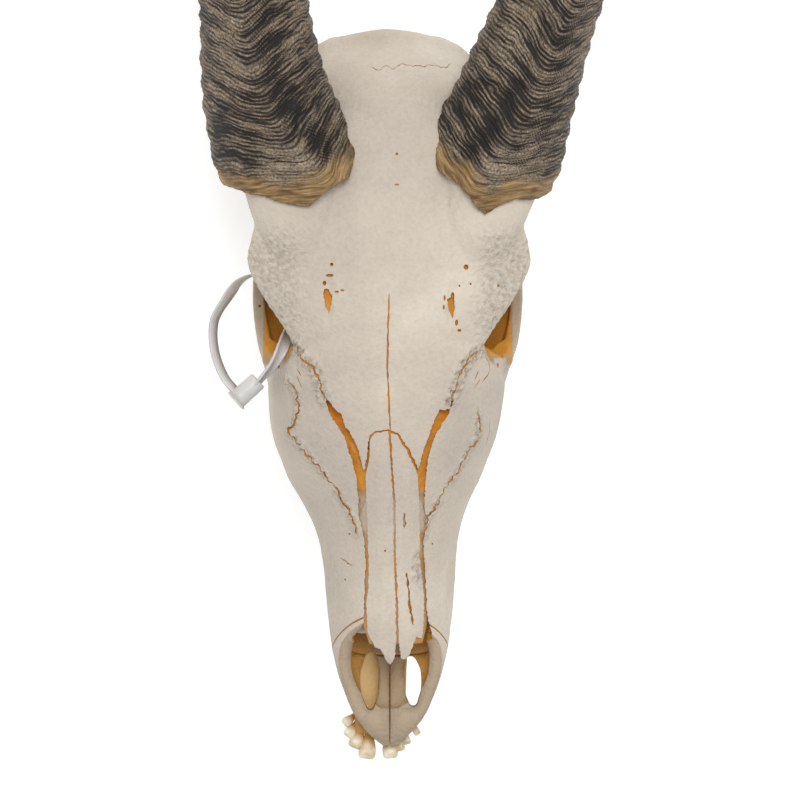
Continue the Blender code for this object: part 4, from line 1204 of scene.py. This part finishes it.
# How far the strap turns about its own run at each point of its route, in degrees.
STRAP_TURN = ((0, 0), (1, -8), (2, -22), (3, -32), (4, -24), (5, -8), (6, 0), (15, 0))
STRAP_WIDTH = 7.2
STRAP_THICKNESS = 1.5
LOCK_RADIUS = 5.6
LOCK_LENGTH = 18.0
LOCK_CENTRE = (-81.7, -50.7, -45.0)
LOCK_WAY = Vector((0.6, 0.55, 0.0))
TOOTH_PITCH = 1.25


def strap():
    """The flat plastic strap looped round the cheek arch, with the fine teeth that its lock holds."""
    keys = [(float(i), *place) for i, place in enumerate(STRAP_ROUTE)]
    places = steps(0.0, len(keys) - 1.0, 300)
    rough = [Vector(smooth_between(keys, t)) for t in places]
    run = [0.0]
    for one, two in zip(rough, rough[1:]):
        run.append(run[-1] + (two - one).length)
    count = round(run[-1] / TOOTH_PITCH) * 2
    spots, turns = [], []
    for i in range(count + 1):
        target = run[-1] * i / count
        k = min(max(1, next((n for n, r in enumerate(run) if r >= target), len(run) - 1)), len(run) - 1)
        share = (target - run[k - 1]) / (run[k] - run[k - 1])
        spots.append(rough[k - 1].lerp(rough[k], share))
        turns.append(math.radians(smooth_between(STRAP_TURN, places[k])[0]))
    rings = []
    for i, spot in enumerate(spots):
        along = (spots[min(i + 1, count)] - spots[max(i - 1, 0)]).normalized()
        wide = (STRAP_LEAN - along * STRAP_LEAN.dot(along)).normalized() * STRAP_WIDTH / 2
        wide.rotate(Quaternion(along, turns[i]))
        thin = along.cross(wide).normalized() * STRAP_THICKNESS / 2
        notched = 0.35 if i % 2 else 1.0
        groove = 0.72
        rings.append(
            [
                spot - wide - thin,
                spot + wide - thin,
                spot + wide + thin,
                spot + wide * groove + thin,
                spot + wide * (groove - 0.03) + thin * notched,
                spot - wide * (groove - 0.03) + thin * notched,
                spot - wide * groove + thin,
                spot - wide + thin,
            ]
        )
    return loft("tie_strap", rings)


def lock():
    """The round lock of the strap, with a flange at its lower end and a small step at its mouth."""
    rings = []
    along = LOCK_WAY.normalized()
    across = Vector((0, 0, 1))
    third = along.cross(across)
    profile = (
        (-0.5, 0.4), (-0.5, 1.1), (-0.49, 1.18), (-0.47, 1.2), (-0.43, 1.19), (-0.415, 1.12), (-0.41, 1.0),
        (-0.2, 1.01), (0.2, 0.99), (0.42, 0.97), (0.45, 0.96), (0.48, 0.93), (0.5, 0.86), (0.5, 0.4),
    )
    for place, share in profile:
        centre = Vector(LOCK_CENTRE) + along * place * LOCK_LENGTH
        ring = []
        for k in range(40):
            angle = math.pi * k / 20
            ring.append(centre + (across * math.cos(angle) + third * math.sin(angle)) * LOCK_RADIUS * share)
        rings.append(ring)
    return loft("tie_lock", rings)


def skull_stain(spot, way):
    """How brown a place of the upper skull is: the eye's socket, the arch beside it and the nose's tip."""
    wide = abs(spot.x)
    out = way.x * math.copysign(1, spot.x)
    socket = fade(spot.z, -34, -24) * fade(spot.z, -90, -97) * fade(spot.y, -33, -38) * fade(spot.y, 26, 34)
    floor_part = fade(way.z, 0.5, 0.1) * fade(spot.z, -60, -50) * fade(wide, 71, 74)
    front_part = fade(way.y, 0.45, 0.1) * fade(spot.y, -12, -4) * fade(wide, 66, 72)
    inner_part = fade(wide, 50, 60) * fade(spot.y, -24, -29)
    arch_part = 0.24 * fade(wide, 68, 64) * fade(max(-out, way.z), 0.6, 0.0) * fade(spot.z, -52, -40)
    eye = socket * max(floor_part, front_part, inner_part, arch_part)
    tip = 0.22 * fade(spot.y, -222, -196) + 0.16 * fade(wide, 5, 10) * fade(spot.y, -212, -204)
    return max(eye, tip)


def jaw_stain(spot, way):
    """The jaw is browner at its tip, where it is seen through the holes of the palate."""
    return 0.75 * fade(spot.y, -205, -190) * fade(way.z, 0.3, -0.3)


def weathered(obj, stain, seams=False):
    """Gives a bone its slight unevenness, the coarser grain of its brows and seams with painted shade in the
    low spots of that grain, and its stains.
    """
    normals = [vert.normal.copy() for vert in obj.data.vertices]
    coarse, painted_pit_shade, region = [], [], []
    for vert, normal in zip(obj.data.vertices, normals):
        spot = vert.co / MM
        lift = 0.32 * noise.noise(spot * 0.055) + 0.16 * noise.noise(spot * 0.19)
        lift += 0.07 * noise.noise(spot * 0.6)
        region.append(stain(spot, normal))
        if seams:
            band, brow = roughness_at(spot)
            crumb = noise.noise(spot * 0.42) + 0.6 * noise.noise(spot * 0.85)
            ridges = brow_ridges(spot)
            lift += band * (0.5 + 1.3 * crumb) + brow * (0.34 * crumb + 0.14 * ridges)
            coarse.append(max(band, brow))
            # Painted shade: darker where the crumbs and ridges of the grain sink.
            shade = band * (0.2 - 0.8 * crumb) + brow * (0.08 - 0.4 * crumb - 0.16 * ridges)
            painted_pit_shade.append(max(0.0, min(1.0, shade)))
        vert.co += normal * lift * MM
    store(obj.data, "region", region)
    if seams:
        store(obj.data, "coarse", coarse)
        store(obj.data, "painted_pit_shade", painted_pit_shade)


def turbinate(side):
    """A rolled plate of thin bone inside the nose."""
    sign = 1 if side == "left" else -1
    rings = []
    for i, y in enumerate(steps(-70, -192, 60)):
        t = i / 59
        middle = Vector((sign * (17 - 4 * t), y, -50 - 18 * t))
        outer, inner = [], []
        for k in range(40):
            turn = -0.6 + 7.4 * k / 39
            size = (10.5 - 6.5 * k / 39) * (0.75 + 0.25 * math.sin(math.pi * t))
            size += 0.5 * noise.noise(Vector((t * 9, k * 0.2, 0)))
            way = Vector((sign * math.cos(turn), 0, math.sin(turn)))
            outer.append(middle + way * (size + 0.35))
            inner.append(middle + way * (size - 0.35))
        rings.append(outer + inner[::-1])
    return loft(f"turbinate_{side}", rings)


def roof_height(x, y):
    """The height of the nose's outer surface at a place, as the body's sections have it."""
    top, wide, _, half, above, _ = smooth_between(BODY, y)
    share = max(0.0, 1 - abs(x / half) ** above)
    return wide + (top - wide) * share ** (1 / above)


def under_roof(name, rows, fall, thick=1.6, wander=0.4):
    """A sheet of bone a little under the roof of the nose: rows give y and the x of both its edges."""
    rings = []
    for y in steps(rows[0][0], rows[-1][0], 90):
        low_x, high_x = smooth_between(rows, y)
        drop = fall(y)
        upper = []
        for x in steps(low_x, high_x, 26):
            fine = 0.5 * noise.noise(Vector((x, y, 9)) * 0.9)
            bump = wander * (noise.noise(Vector((x, y, 0)) * 0.3) + fine)
            upper.append(Vector((x, y, roof_height(x, y) - drop + bump)))
        lower = [Vector((spot.x, spot.y, spot.z - thick)) for spot in upper[::-1]]
        rings.append(upper + lower)
    return loft(name, rings)


def nasal_bed():
    """The bone that the nasal bones lie on, which shows in the slits beside them."""
    rows = (
        (-197, -11, 20), (-180, -15.5, 23.2), (-125, -17.5, 22.5), (-112, -13.5, 18), (-90, -12, 15),
        (-68, -11, 10),
    )
    return under_roof("nasal_bed", rows, lambda y: 2.2 - 1.1 * fade(y, -118, -106), 1.4, 0.5)


def ethmoid_plate(side):
    """The porous bone in the gap beside the root of a nasal bone, deeper towards the back."""
    rows = {
        "right": ((-140, -19, -11), (-115, -21, -10), (-92, -24, -11), (-75, -29, -14), (-54, -39, -26)),
        "left": ((-140, 15, 24), (-115, 15, 24), (-92, 13, 25), (-75, 17, 30), (-56, 26, 39)),
    }[side]
    return under_roof(f"ethmoid_{side}", rows, lambda y: 2.6 + 4.6 * fade(y, -62, -112), 1.4, 0.9)


def nose_inside_stain(obj):
    """The bone in the slits of the nose: orange at the back, pale in the middle, patchy brown in front."""
    values = []
    for vert in obj.data.vertices:
        spot = vert.co / MM
        pale = fade(spot.y, -114, -104) * fade(spot.y, -136, -146)
        patch = 0.5 + 0.9 * noise.noise(spot * 0.16)
        front = fade(spot.y, -136, -126) * (0.35 + 0.55 * patch)
        back = 1.0 - 0.25 * max(0.0, noise.noise(spot * 0.25))
        values.append(max(0.0, min(1.0, front if spot.y < -130 else back * (1 - pale) + 0.22 * pale)))
    store(obj.data, "region", values)
    return obj


def vomer():
    """The thin upright plate in the middle of the nose."""
    return limb("vomer", [((1, -70, -86), 1.2, 14), ((2, -130, -88), 1.0, 12), ((2.5, -196, -92), 1.0, 4)])


def palate_shelf():
    """The sloping plate of bone that closes the right hole of the palate, seen from above."""
    shelf = limb(
        "palate_shelf",
        [
            ((-12.5, -202, -99), 7.5, 1.6),
            ((-12.5, -215, -99.5), 8, 1.6),
            ((-11.5, -232, -101), 6, 1.4),
            ((-11, -242, -102), 3, 1),
        ],
    )
    for vert in shelf.data.vertices:
        vert.co.z -= 0.35 * (vert.co.x + 12 * MM)
    store(shelf.data, "region", [0.55] * len(shelf.data.vertices))
    return shelf


def node(tree, kind, settings=None, **inputs):
    """Adds a shader node, with its settings, and its inputs as values or as other nodes' outputs."""
    made = tree.nodes.new(kind)
    for name, value in (settings or {}).items():
        setattr(made, name, value)
    for name, value in inputs.items():
        socket = made.inputs[int(name[1:])] if name[0] == "_" else made.inputs[name]
        if isinstance(value, bpy.types.NodeSocket):
            tree.links.new(value, socket)
        else:
            socket.default_value = value
    return made


def grain(tree, where, scale, detail=3.0, roughness=0.55, distortion=0.0):
    """A noise field, from 0 to 1."""
    made = node(
        tree,
        "ShaderNodeTexNoise",
        Vector=where,
        Scale=scale,
        Detail=detail,
        Roughness=roughness,
        Distortion=distortion,
    )
    return made.outputs["Fac"]


def ramp(tree, value, stops):
    """Colours, or greys, along a value from 0 to 1."""
    made = node(tree, "ShaderNodeValToRGB", Fac=value)
    band = made.color_ramp
    while len(band.elements) < len(stops):
        band.elements.new(0.5)
    for element, (place, colour) in zip(band.elements, stops):
        element.position = place
        element.color = (*colour, 1.0) if isinstance(colour, tuple) else (colour, colour, colour, 1.0)
    return made.outputs["Color"]


def mixed(tree, factor, one, two):
    """One colour turned into another by a factor from 0 to 1."""
    made = tree.nodes.new("ShaderNodeMix")
    made.data_type = "RGBA"
    for socket, value in ((made.inputs[0], factor), (made.inputs[6], one), (made.inputs[7], two)):
        if isinstance(value, bpy.types.NodeSocket):
            tree.links.new(value, socket)
        elif socket == made.inputs[0]:
            socket.default_value = value
        else:
            socket.default_value = (*value, 1.0)
    return made.outputs[2]


def sum_of(tree, one, two, way="ADD", clamp=False):
    """Two numbers put together by a sum, or by what way says."""
    return node(tree, "ShaderNodeMath", {"operation": way, "use_clamp": clamp}, _0=one, _1=two).outputs[0]


def attribute(tree, name):
    """What a material reads of a value stored on its piece."""
    return node(tree, "ShaderNodeAttribute", {"attribute_name": name}).outputs


def new_material(name):
    """A material, its nodes and its main shader."""
    material = bpy.data.materials.new(name)
    material.use_nodes = True
    tree = material.node_tree
    return material, tree, tree.nodes["Principled BSDF"]


IVORY = (0.53, 0.465, 0.385)
IVORY_PALE = (0.66, 0.60, 0.51)
IVORY_GREY = (0.44, 0.385, 0.325)
STAIN_AND_SHADE_TAN = (0.36, 0.25, 0.14)
SHADE_UMBER = (0.34, 0.275, 0.205)
STAIN = (0.40, 0.155, 0.012)
STAIN_BRIGHT = (0.66, 0.31, 0.035)


def bone_material(name, warm=0.0):
    """Dry bone: ivory with faint blotches and pores, stained orange-brown in its seams, cut walls and
    sockets; where it is closed in, grease stain and painted shade together brown and darken it, and painted
    shade darkens the low spots of its coarse grain.
    """
    material, tree, shader = new_material(name)
    where = node(tree, "ShaderNodeTexCoord").outputs["Object"]
    blotch = grain(tree, where, 13, 4)
    fine = grain(tree, where, 420, 3)
    tone = ramp(tree, blotch, ((0.32, IVORY_GREY), (0.5, IVORY), (0.68, IVORY_PALE)))
    tone = mixed(tree, 0.16, tone, ramp(tree, fine, ((0.35, IVORY_GREY), (0.62, IVORY_PALE))))
    stain = mixed(tree, grain(tree, where, 70, 3), STAIN, STAIN_BRIGHT)
    # The closed-in value from hollows() browns and darkens the recesses: partly grease stain, partly painted
    # shade.
    hollow = ramp(tree, attribute(tree, "hollow")["Fac"], ((0.18, 0.0), (0.75, 1.0)))
    much = sum_of(tree, hollow, attribute(tree, "cut")["Fac"], "MAXIMUM")
    much = sum_of(tree, much, attribute(tree, "region")["Fac"], "MAXIMUM")
    much = sum_of(tree, much, ramp(tree, blotch, ((0.3, 0.0), (0.7, 0.04))), "ADD")
    pebbles = grain(tree, where, 330, 4, 0.65, 0.4)
    coarse = sum_of(tree, attribute(tree, "coarse")["Fac"], 0.12, "ADD")
    chalky = sum_of(tree, attribute(tree, "coarse")["Fac"], 0.5, "MULTIPLY")
    tone = mixed(tree, chalky, tone, IVORY_PALE)
    # Painted shade: the low spots between the pebbles of the bump, and the stored shade of the grain's pits,
    # darken the tone towards umber.
    pebble_shade = sum_of(tree, ramp(tree, pebbles, ((0.36, 1.0), (0.56, 0.0))), coarse, "MULTIPLY")
    pebble_shade = sum_of(tree, sum_of(tree, pebble_shade, 0.32, "MULTIPLY"), attribute(tree, "painted_pit_shade")["Fac"], "ADD", True)
    tone = mixed(tree, pebble_shade, tone, SHADE_UMBER)
    colour = mixed(tree, sum_of(tree, much, 2.0, "MULTIPLY", True), tone, STAIN_AND_SHADE_TAN)
    twice = sum_of(tree, much, 2.0, "MULTIPLY")
    colour = mixed(tree, sum_of(tree, twice, 1.0, "SUBTRACT", True), colour, stain)
    colour = mixed(tree, warm, colour, (0.74, 0.50, 0.22))
    tree.links.new(colour, shader.inputs["Base Color"])
    shader.inputs["Roughness"].default_value = 0.72
    shader.inputs["Specular IOR Level"].default_value = 0.3
    grit = sum_of(tree, ramp(tree, pebbles, ((0.3, 0.0), (0.7, 1.0))), coarse, "MULTIPLY")
    height = sum_of(tree, sum_of(tree, fine, 0.8, "MULTIPLY"), grit, "ADD")
    bump = node(tree, "ShaderNodeBump", Strength=0.9, Distance=0.001, Height=height)
    tree.links.new(bump.outputs["Normal"], shader.inputs["Normal"])
    return material


def horn_material(name):
    """Horn: charcoal with cream and tan lines along the rings of growth, ochre near its base."""
    material, tree, shader = new_material(name)
    growth = attribute(tree, "growth")["Vector"]
    lines = node(tree, "ShaderNodeMapping", Vector=growth, Scale=(0.12, 0.12, 1.0)).outputs[0]
    strands = grain(tree, lines, 620, 4, 0.65)
    zones = grain(tree, growth, 26, 3)
    speckle = grain(tree, growth, 900, 3, 0.7)
    light = mixed(tree, grain(tree, growth, 60, 3), (0.21, 0.14, 0.08), (0.46, 0.38, 0.28))
    dark = mixed(tree, speckle, (0.004, 0.004, 0.006), (0.028, 0.021, 0.016))
    ridges = sum_of(tree, attribute(tree, "crest")["Fac"], 0.34, "MULTIPLY")
    much = sum_of(tree, ridges, sum_of(tree, strands, 0.9, "MULTIPLY"), "ADD")
    much = sum_of(tree, much, sum_of(tree, zones, 0.62, "MULTIPLY"), "ADD")
    much = ramp(tree, sum_of(tree, much, 0.6, "MULTIPLY"), ((0.49, 0.0), (0.64, 1.0)))
    much = sum_of(tree, much, ramp(tree, speckle, ((0.35, 0.15), (0.6, 1.0))), "MULTIPLY")
    colour = mixed(tree, much, dark, light)
    place = node(tree, "ShaderNodeSeparateXYZ", Vector=growth).outputs["Z"]
    colour = mixed(tree, ramp(tree, place, ((0.66, 0.0), (0.73, 1.0))), colour, (0.46, 0.36, 0.20))
    rim = attribute(tree, "rim")["Fac"]
    streaks = ramp(tree, strands, ((0.35, 0.0), (0.65, 1.0)))
    ochre = mixed(tree, streaks, (0.11, 0.062, 0.022), (0.40, 0.26, 0.12))
    colour = mixed(tree, rim, colour, ochre)
    tree.links.new(colour, shader.inputs["Base Color"])
    shader.inputs["Roughness"].default_value = 0.6
    shader.inputs["Specular IOR Level"].default_value = 0.22
    height = sum_of(tree, sum_of(tree, strands, speckle, "ADD"), attribute(tree, "crest")["Fac"], "ADD")
    bump = node(tree, "ShaderNodeBump", Strength=0.7, Distance=0.0007, Height=height)
    tree.links.new(bump.outputs["Normal"], shader.inputs["Normal"])
    return material


def tooth_material(name):
    """Enamel: cream white, browner towards the root."""
    material, tree, shader = new_material(name)
    where = node(tree, "ShaderNodeTexCoord").outputs["Object"]
    blotch = grain(tree, where, 120, 4)
    tones = ((0.35, (0.50, 0.38, 0.20)), (0.5, (0.66, 0.59, 0.45)), (0.66, (0.76, 0.72, 0.62)))
    tone = ramp(tree, blotch, tones)
    tone = mixed(tree, attribute(tree, "root")["Fac"], tone, (0.42, 0.21, 0.04))
    tree.links.new(tone, shader.inputs["Base Color"])
    shader.inputs["Roughness"].default_value = 0.35
    bump = node(tree, "ShaderNodeBump", Strength=0.2, Distance=0.0003, Height=grain(tree, where, 500, 3))
    tree.links.new(bump.outputs["Normal"], shader.inputs["Normal"])
    return material


def nylon_material(name):
    """White nylon with a faint grain, slightly see-through in its skin."""
    material, tree, shader = new_material(name)
    where = node(tree, "ShaderNodeTexCoord").outputs["Object"]
    tone = ramp(tree, grain(tree, where, 60, 3), ((0.3, (0.50, 0.49, 0.46)), (0.7, (0.60, 0.60, 0.59))))
    tree.links.new(tone, shader.inputs["Base Color"])
    shader.inputs["Roughness"].default_value = 0.38
    shader.inputs["Subsurface Weight"].default_value = 0.15
    shader.inputs["Subsurface Scale"].default_value = 0.002
    bump = node(tree, "ShaderNodeBump", Strength=0.15, Distance=0.0002, Height=grain(tree, where, 900, 2))
    tree.links.new(bump.outputs["Normal"], shader.inputs["Normal"])
    return material


def neighbours_mean(mesh, values, rounds):
    """Values at a mesh's points, each averaged with its neighbours a few times."""
    edges = np.zeros(len(mesh.edges) * 2, np.int64)
    mesh.edges.foreach_get("vertices", edges)
    edges = edges.reshape(-1, 2)
    count = np.bincount(edges.ravel(), minlength=len(values)).clip(1)
    for _ in range(rounds):
        total = np.bincount(edges[:, 0], values[edges[:, 1]], len(values))
        total += np.bincount(edges[:, 1], values[edges[:, 0]], len(values))
        values = 0.5 * values + 0.5 * total / count
    return values


def store(mesh, name, values, domain="POINT"):
    """Keeps a number for each point, or each face, on a mesh."""
    made = mesh.attributes.new(name, "FLOAT", domain)
    made.data.foreach_set("value", np.asarray(values, np.float32))


# How far round a point of a bone other bone makes it a hollow, and where the brown front of the nose begins.
HOLLOW_REACH = 16.0
NOSE_FRONT = -196.0


def hollows(obj):
    """Stores how closed in each point of a bone is, and which faces are the walls of a cut."""
    mesh = obj.data
    bm = bmesh.new()
    bm.from_mesh(mesh)
    tree = BVHTree.FromBMesh(bm)
    bm.free()
    values = np.zeros(len(mesh.vertices))
    lean = 0.9
    reach = HOLLOW_REACH * MM
    for i, vert in enumerate(mesh.vertices):
        normal = vert.normal
        side = normal.orthogonal().normalized()
        other = normal.cross(side)
        ways = (side * lean, side * -lean, other * lean, other * -lean)
        start = vert.co + normal * 0.4 * MM
        shut = 0.0
        for way in (normal, *(normal + away for away in ways)):
            hit = tree.ray_cast(start, way.normalized(), reach)
            if hit[3] is not None:
                shut += 0.2 * (1 - 0.6 * hit[3] / reach)
        values[i] = shut
    # This closed-in value is used by the bone's material as grease stain and painted shade together.
    store(mesh, "hollow", neighbours_mean(mesh, values, 4))
    walls = np.zeros(len(mesh.polygons), np.int32)
    mesh.polygons.foreach_get("material_index", walls)
    levels = np.array(STAIN_LEVELS)[walls.clip(0, len(STAIN_LEVELS) - 1)]
    for face in mesh.polygons:
        # The floor and walls at the very front of the nose are brown, not orange.
        if walls[face.index] == 1 and face.center.y < NOSE_FRONT * MM:
            away = abs(face.center.x / MM - smooth_between(DRIFT, face.center.y / MM)[0])
            levels[face.index] = 0.42 + 0.4 * fade(away, 13.0, 8.0)
    store(mesh, "cut", levels, "FACE")
    mesh.polygons.foreach_set("material_index", np.zeros(len(mesh.polygons), np.int32))


def rim_distance(obj, side):
    """Stores how near each point of a horn is to the rim of its base, from 1 at the rim to 0 well away."""
    outline = [Vector(p) for p in HORN_RIM[side][:-4]]
    values = []
    for vert in obj.data.vertices:
        spot = vert.co / MM
        flat = Vector((spot.x, spot.y - RIM_SLANT * (RIM_LEVEL - spot.z)))
        if flat.y > 130:
            values.append(0.0)
            continue
        near = 99.0
        for one, two in zip(outline, outline[1:]):
            run = two - one
            t = max(0.0, min(1.0, (flat - one).dot(run) / run.length_squared))
            near = min(near, (flat - one - run * t).length)
        near += 5 * noise.noise(spot * 0.08) + 2.5 * noise.noise(spot * 0.35)
        values.append(max(0.0, min(1.0, (17 - near) / 9)))
    store(obj.data, "rim", values)


# How far the deep parts of the skull lean to the animal's left, in millimetres along it.
DRIFT = ((-270, 1.6), (-200, 1.6), (-160, 1.6), (-130, 0.2), (-105, -1.6), (-70, -1.4), (-30, 0.0), (60, 0.0))


def drifted(obj):
    """Shifts the deep parts of a piece to the side, as the skull of the photo has them."""
    for vert in obj.data.vertices:
        spot = vert.co / MM
        vert.co.x += smooth_between(DRIFT, spot.y)[0] * fade(spot.z, -72, -34) * MM
    return obj


def dressed(obj, material, slot, *nodes):
    """Finishes a piece: its material, its smooth shading, its place at rest, and what it stands for."""
    obj.data.materials.clear()
    obj.data.materials.append(material)
    obj.data.shade_smooth()
    obj.data.transform(REST)
    obj.data.name = obj.name
    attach(obj, "root")
    if nodes:
        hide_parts(*nodes)


# The camera in the skull's own frame, in millimetres, its view in degrees, the point that it leans about,
# and its lean to the animal's right.
CAMERA_AT = (6.16, -56.0, 1500.0)
CAMERA_VIEW = 16.99
LEAN_ABOUT = (6.16, 0.0, -20.0)
CAMERA_LEAN = 1.2


def camera():
    """The camera above the forehead."""
    data = bpy.data.cameras.new("camera")
    data.sensor_width = 36.0
    data.angle = math.radians(CAMERA_VIEW)
    data.clip_end = 50
    obj = bpy.data.objects.new("camera", data)
    bpy.context.scene.collection.objects.link(obj)
    pivot = Matrix.Translation(Vector(LEAN_ABOUT) * MM)
    lean = pivot @ Matrix.Rotation(math.radians(-CAMERA_LEAN), 4, "Y") @ pivot.inverted()
    obj.matrix_world = REST @ lean @ Matrix.Translation(Vector(CAMERA_AT) * MM)
    bpy.context.scene.camera = obj


def floor():
    """The plain pale floor."""
    bm = bmesh.new()
    bmesh.ops.create_grid(bm, x_segments=1, y_segments=1, size=6.0)
    mesh = bpy.data.meshes.new("floor")
    bm.to_mesh(mesh)
    bm.free()
    obj = bpy.data.objects.new("floor", mesh)
    bpy.context.scene.collection.objects.link(obj)
    material, _, shader = new_material("floor")
    shader.inputs["Base Color"].default_value = (0.86, 0.86, 0.86, 1.0)
    shader.inputs["Roughness"].default_value = 0.9
    shader.inputs["Emission Color"].default_value = (1.0, 1.0, 1.0, 1.0)
    shader.inputs["Emission Strength"].default_value = 0.36
    mesh.materials.append(material)


def light(name, place, size, power):
    """A soft round white light that looks at the skull."""
    data = bpy.data.lights.new(name, "AREA")
    data.shape = "DISK"
    data.size = size
    data.energy = power
    obj = bpy.data.objects.new(name, data)
    bpy.context.scene.collection.objects.link(obj)
    obj.location = place
    obj.rotation_euler = (Vector((0, -0.15, 0.1)) - Vector(place)).to_track_quat("-Z", "Y").to_euler()


def studio():
    """Soft white light all round, with the main light from behind the head."""
    world = bpy.data.worlds.new("studio")
    world.use_nodes = True
    world.node_tree.nodes["Background"].inputs["Color"].default_value = (1.0, 1.0, 1.0, 1.0)
    world.node_tree.nodes["Background"].inputs["Strength"].default_value = 0.76
    bpy.context.scene.world = world
    bpy.context.scene.view_settings.view_transform = "Standard"
    light("key", (0.1, 0.95, 2.2), 0.9, 30)


camera()
studio()
floor()

bones = upper_skull()
jaws = lower_jaw()
horns = {side: horn_sheath(side) for side in ("left", "right")}
upper_left = tooth_row("upper_teeth_left", UPPER_TEETH, BITE + BITE_GAP / 2, -98, outer=1)
upper_right = mirrored(upper_left)
upper_right.name = "upper_teeth_right"

for piece in (*bones, *jaws.values(), upper_left, upper_right):
    drifted(piece)
for bone in (*bones, jaws["jaw_left"], jaws["jaw_right"]):
    hollows(bone)

dressed(bones[0], bone_material("cranium_bone"), "cranium", "cranium")
for bone, kind in zip(bones[1:], ("nasal_left", "nasal_right", "premaxilla_left", "premaxilla_right")):
    bone.name = kind + "_bone"
    dressed(bone, bone_material(kind), kind, kind)
for side in ("left", "right"):
    dressed(jaws[f"jaw_{side}"], bone_material(f"jaw_{side}"), f"mandible_{side}", f"mandible_{side}")
    dressed(jaws[f"lower_teeth_{side}"], tooth_material(f"lower_teeth_{side}"), f"mandible_{side}")
    dressed(jaws[f"incisors_{side}"], tooth_material(f"incisors_{side}"), f"mandible_{side}")
    rim_distance(horns[side], side)
    horns[side].name = f"horn_{side}_sheath"
    dressed(horns[side], horn_material(f"horn_{side}"), f"horn_{side}", f"horn_{side}")
    dressed(turbinate(side), bone_material(f"turbinate_{side}"), "cranium")
dressed(upper_left, tooth_material("upper_teeth_left"), "cranium")
dressed(upper_right, tooth_material("upper_teeth_right"), "cranium")
dressed(vomer(), bone_material("vomer"), "cranium")
dressed(drifted(palate_shelf()), bone_material("palate_shelf", 0.8), "cranium")
dressed(nose_inside_stain(nasal_bed()), bone_material("nasal_bed"), "cranium")
for side in ("left", "right"):
    dressed(nose_inside_stain(ethmoid_plate(side)), bone_material(f"ethmoid_{side}"), "cranium")
band = strap()
band.name = "tie_band"
dressed(band, nylon_material("nylon_strap"), "tie_strap", "tie_strap")
clip = lock()
clip.name = "tie_clip"
dressed(clip, nylon_material("nylon_lock"), "tie_lock", "tie_lock")
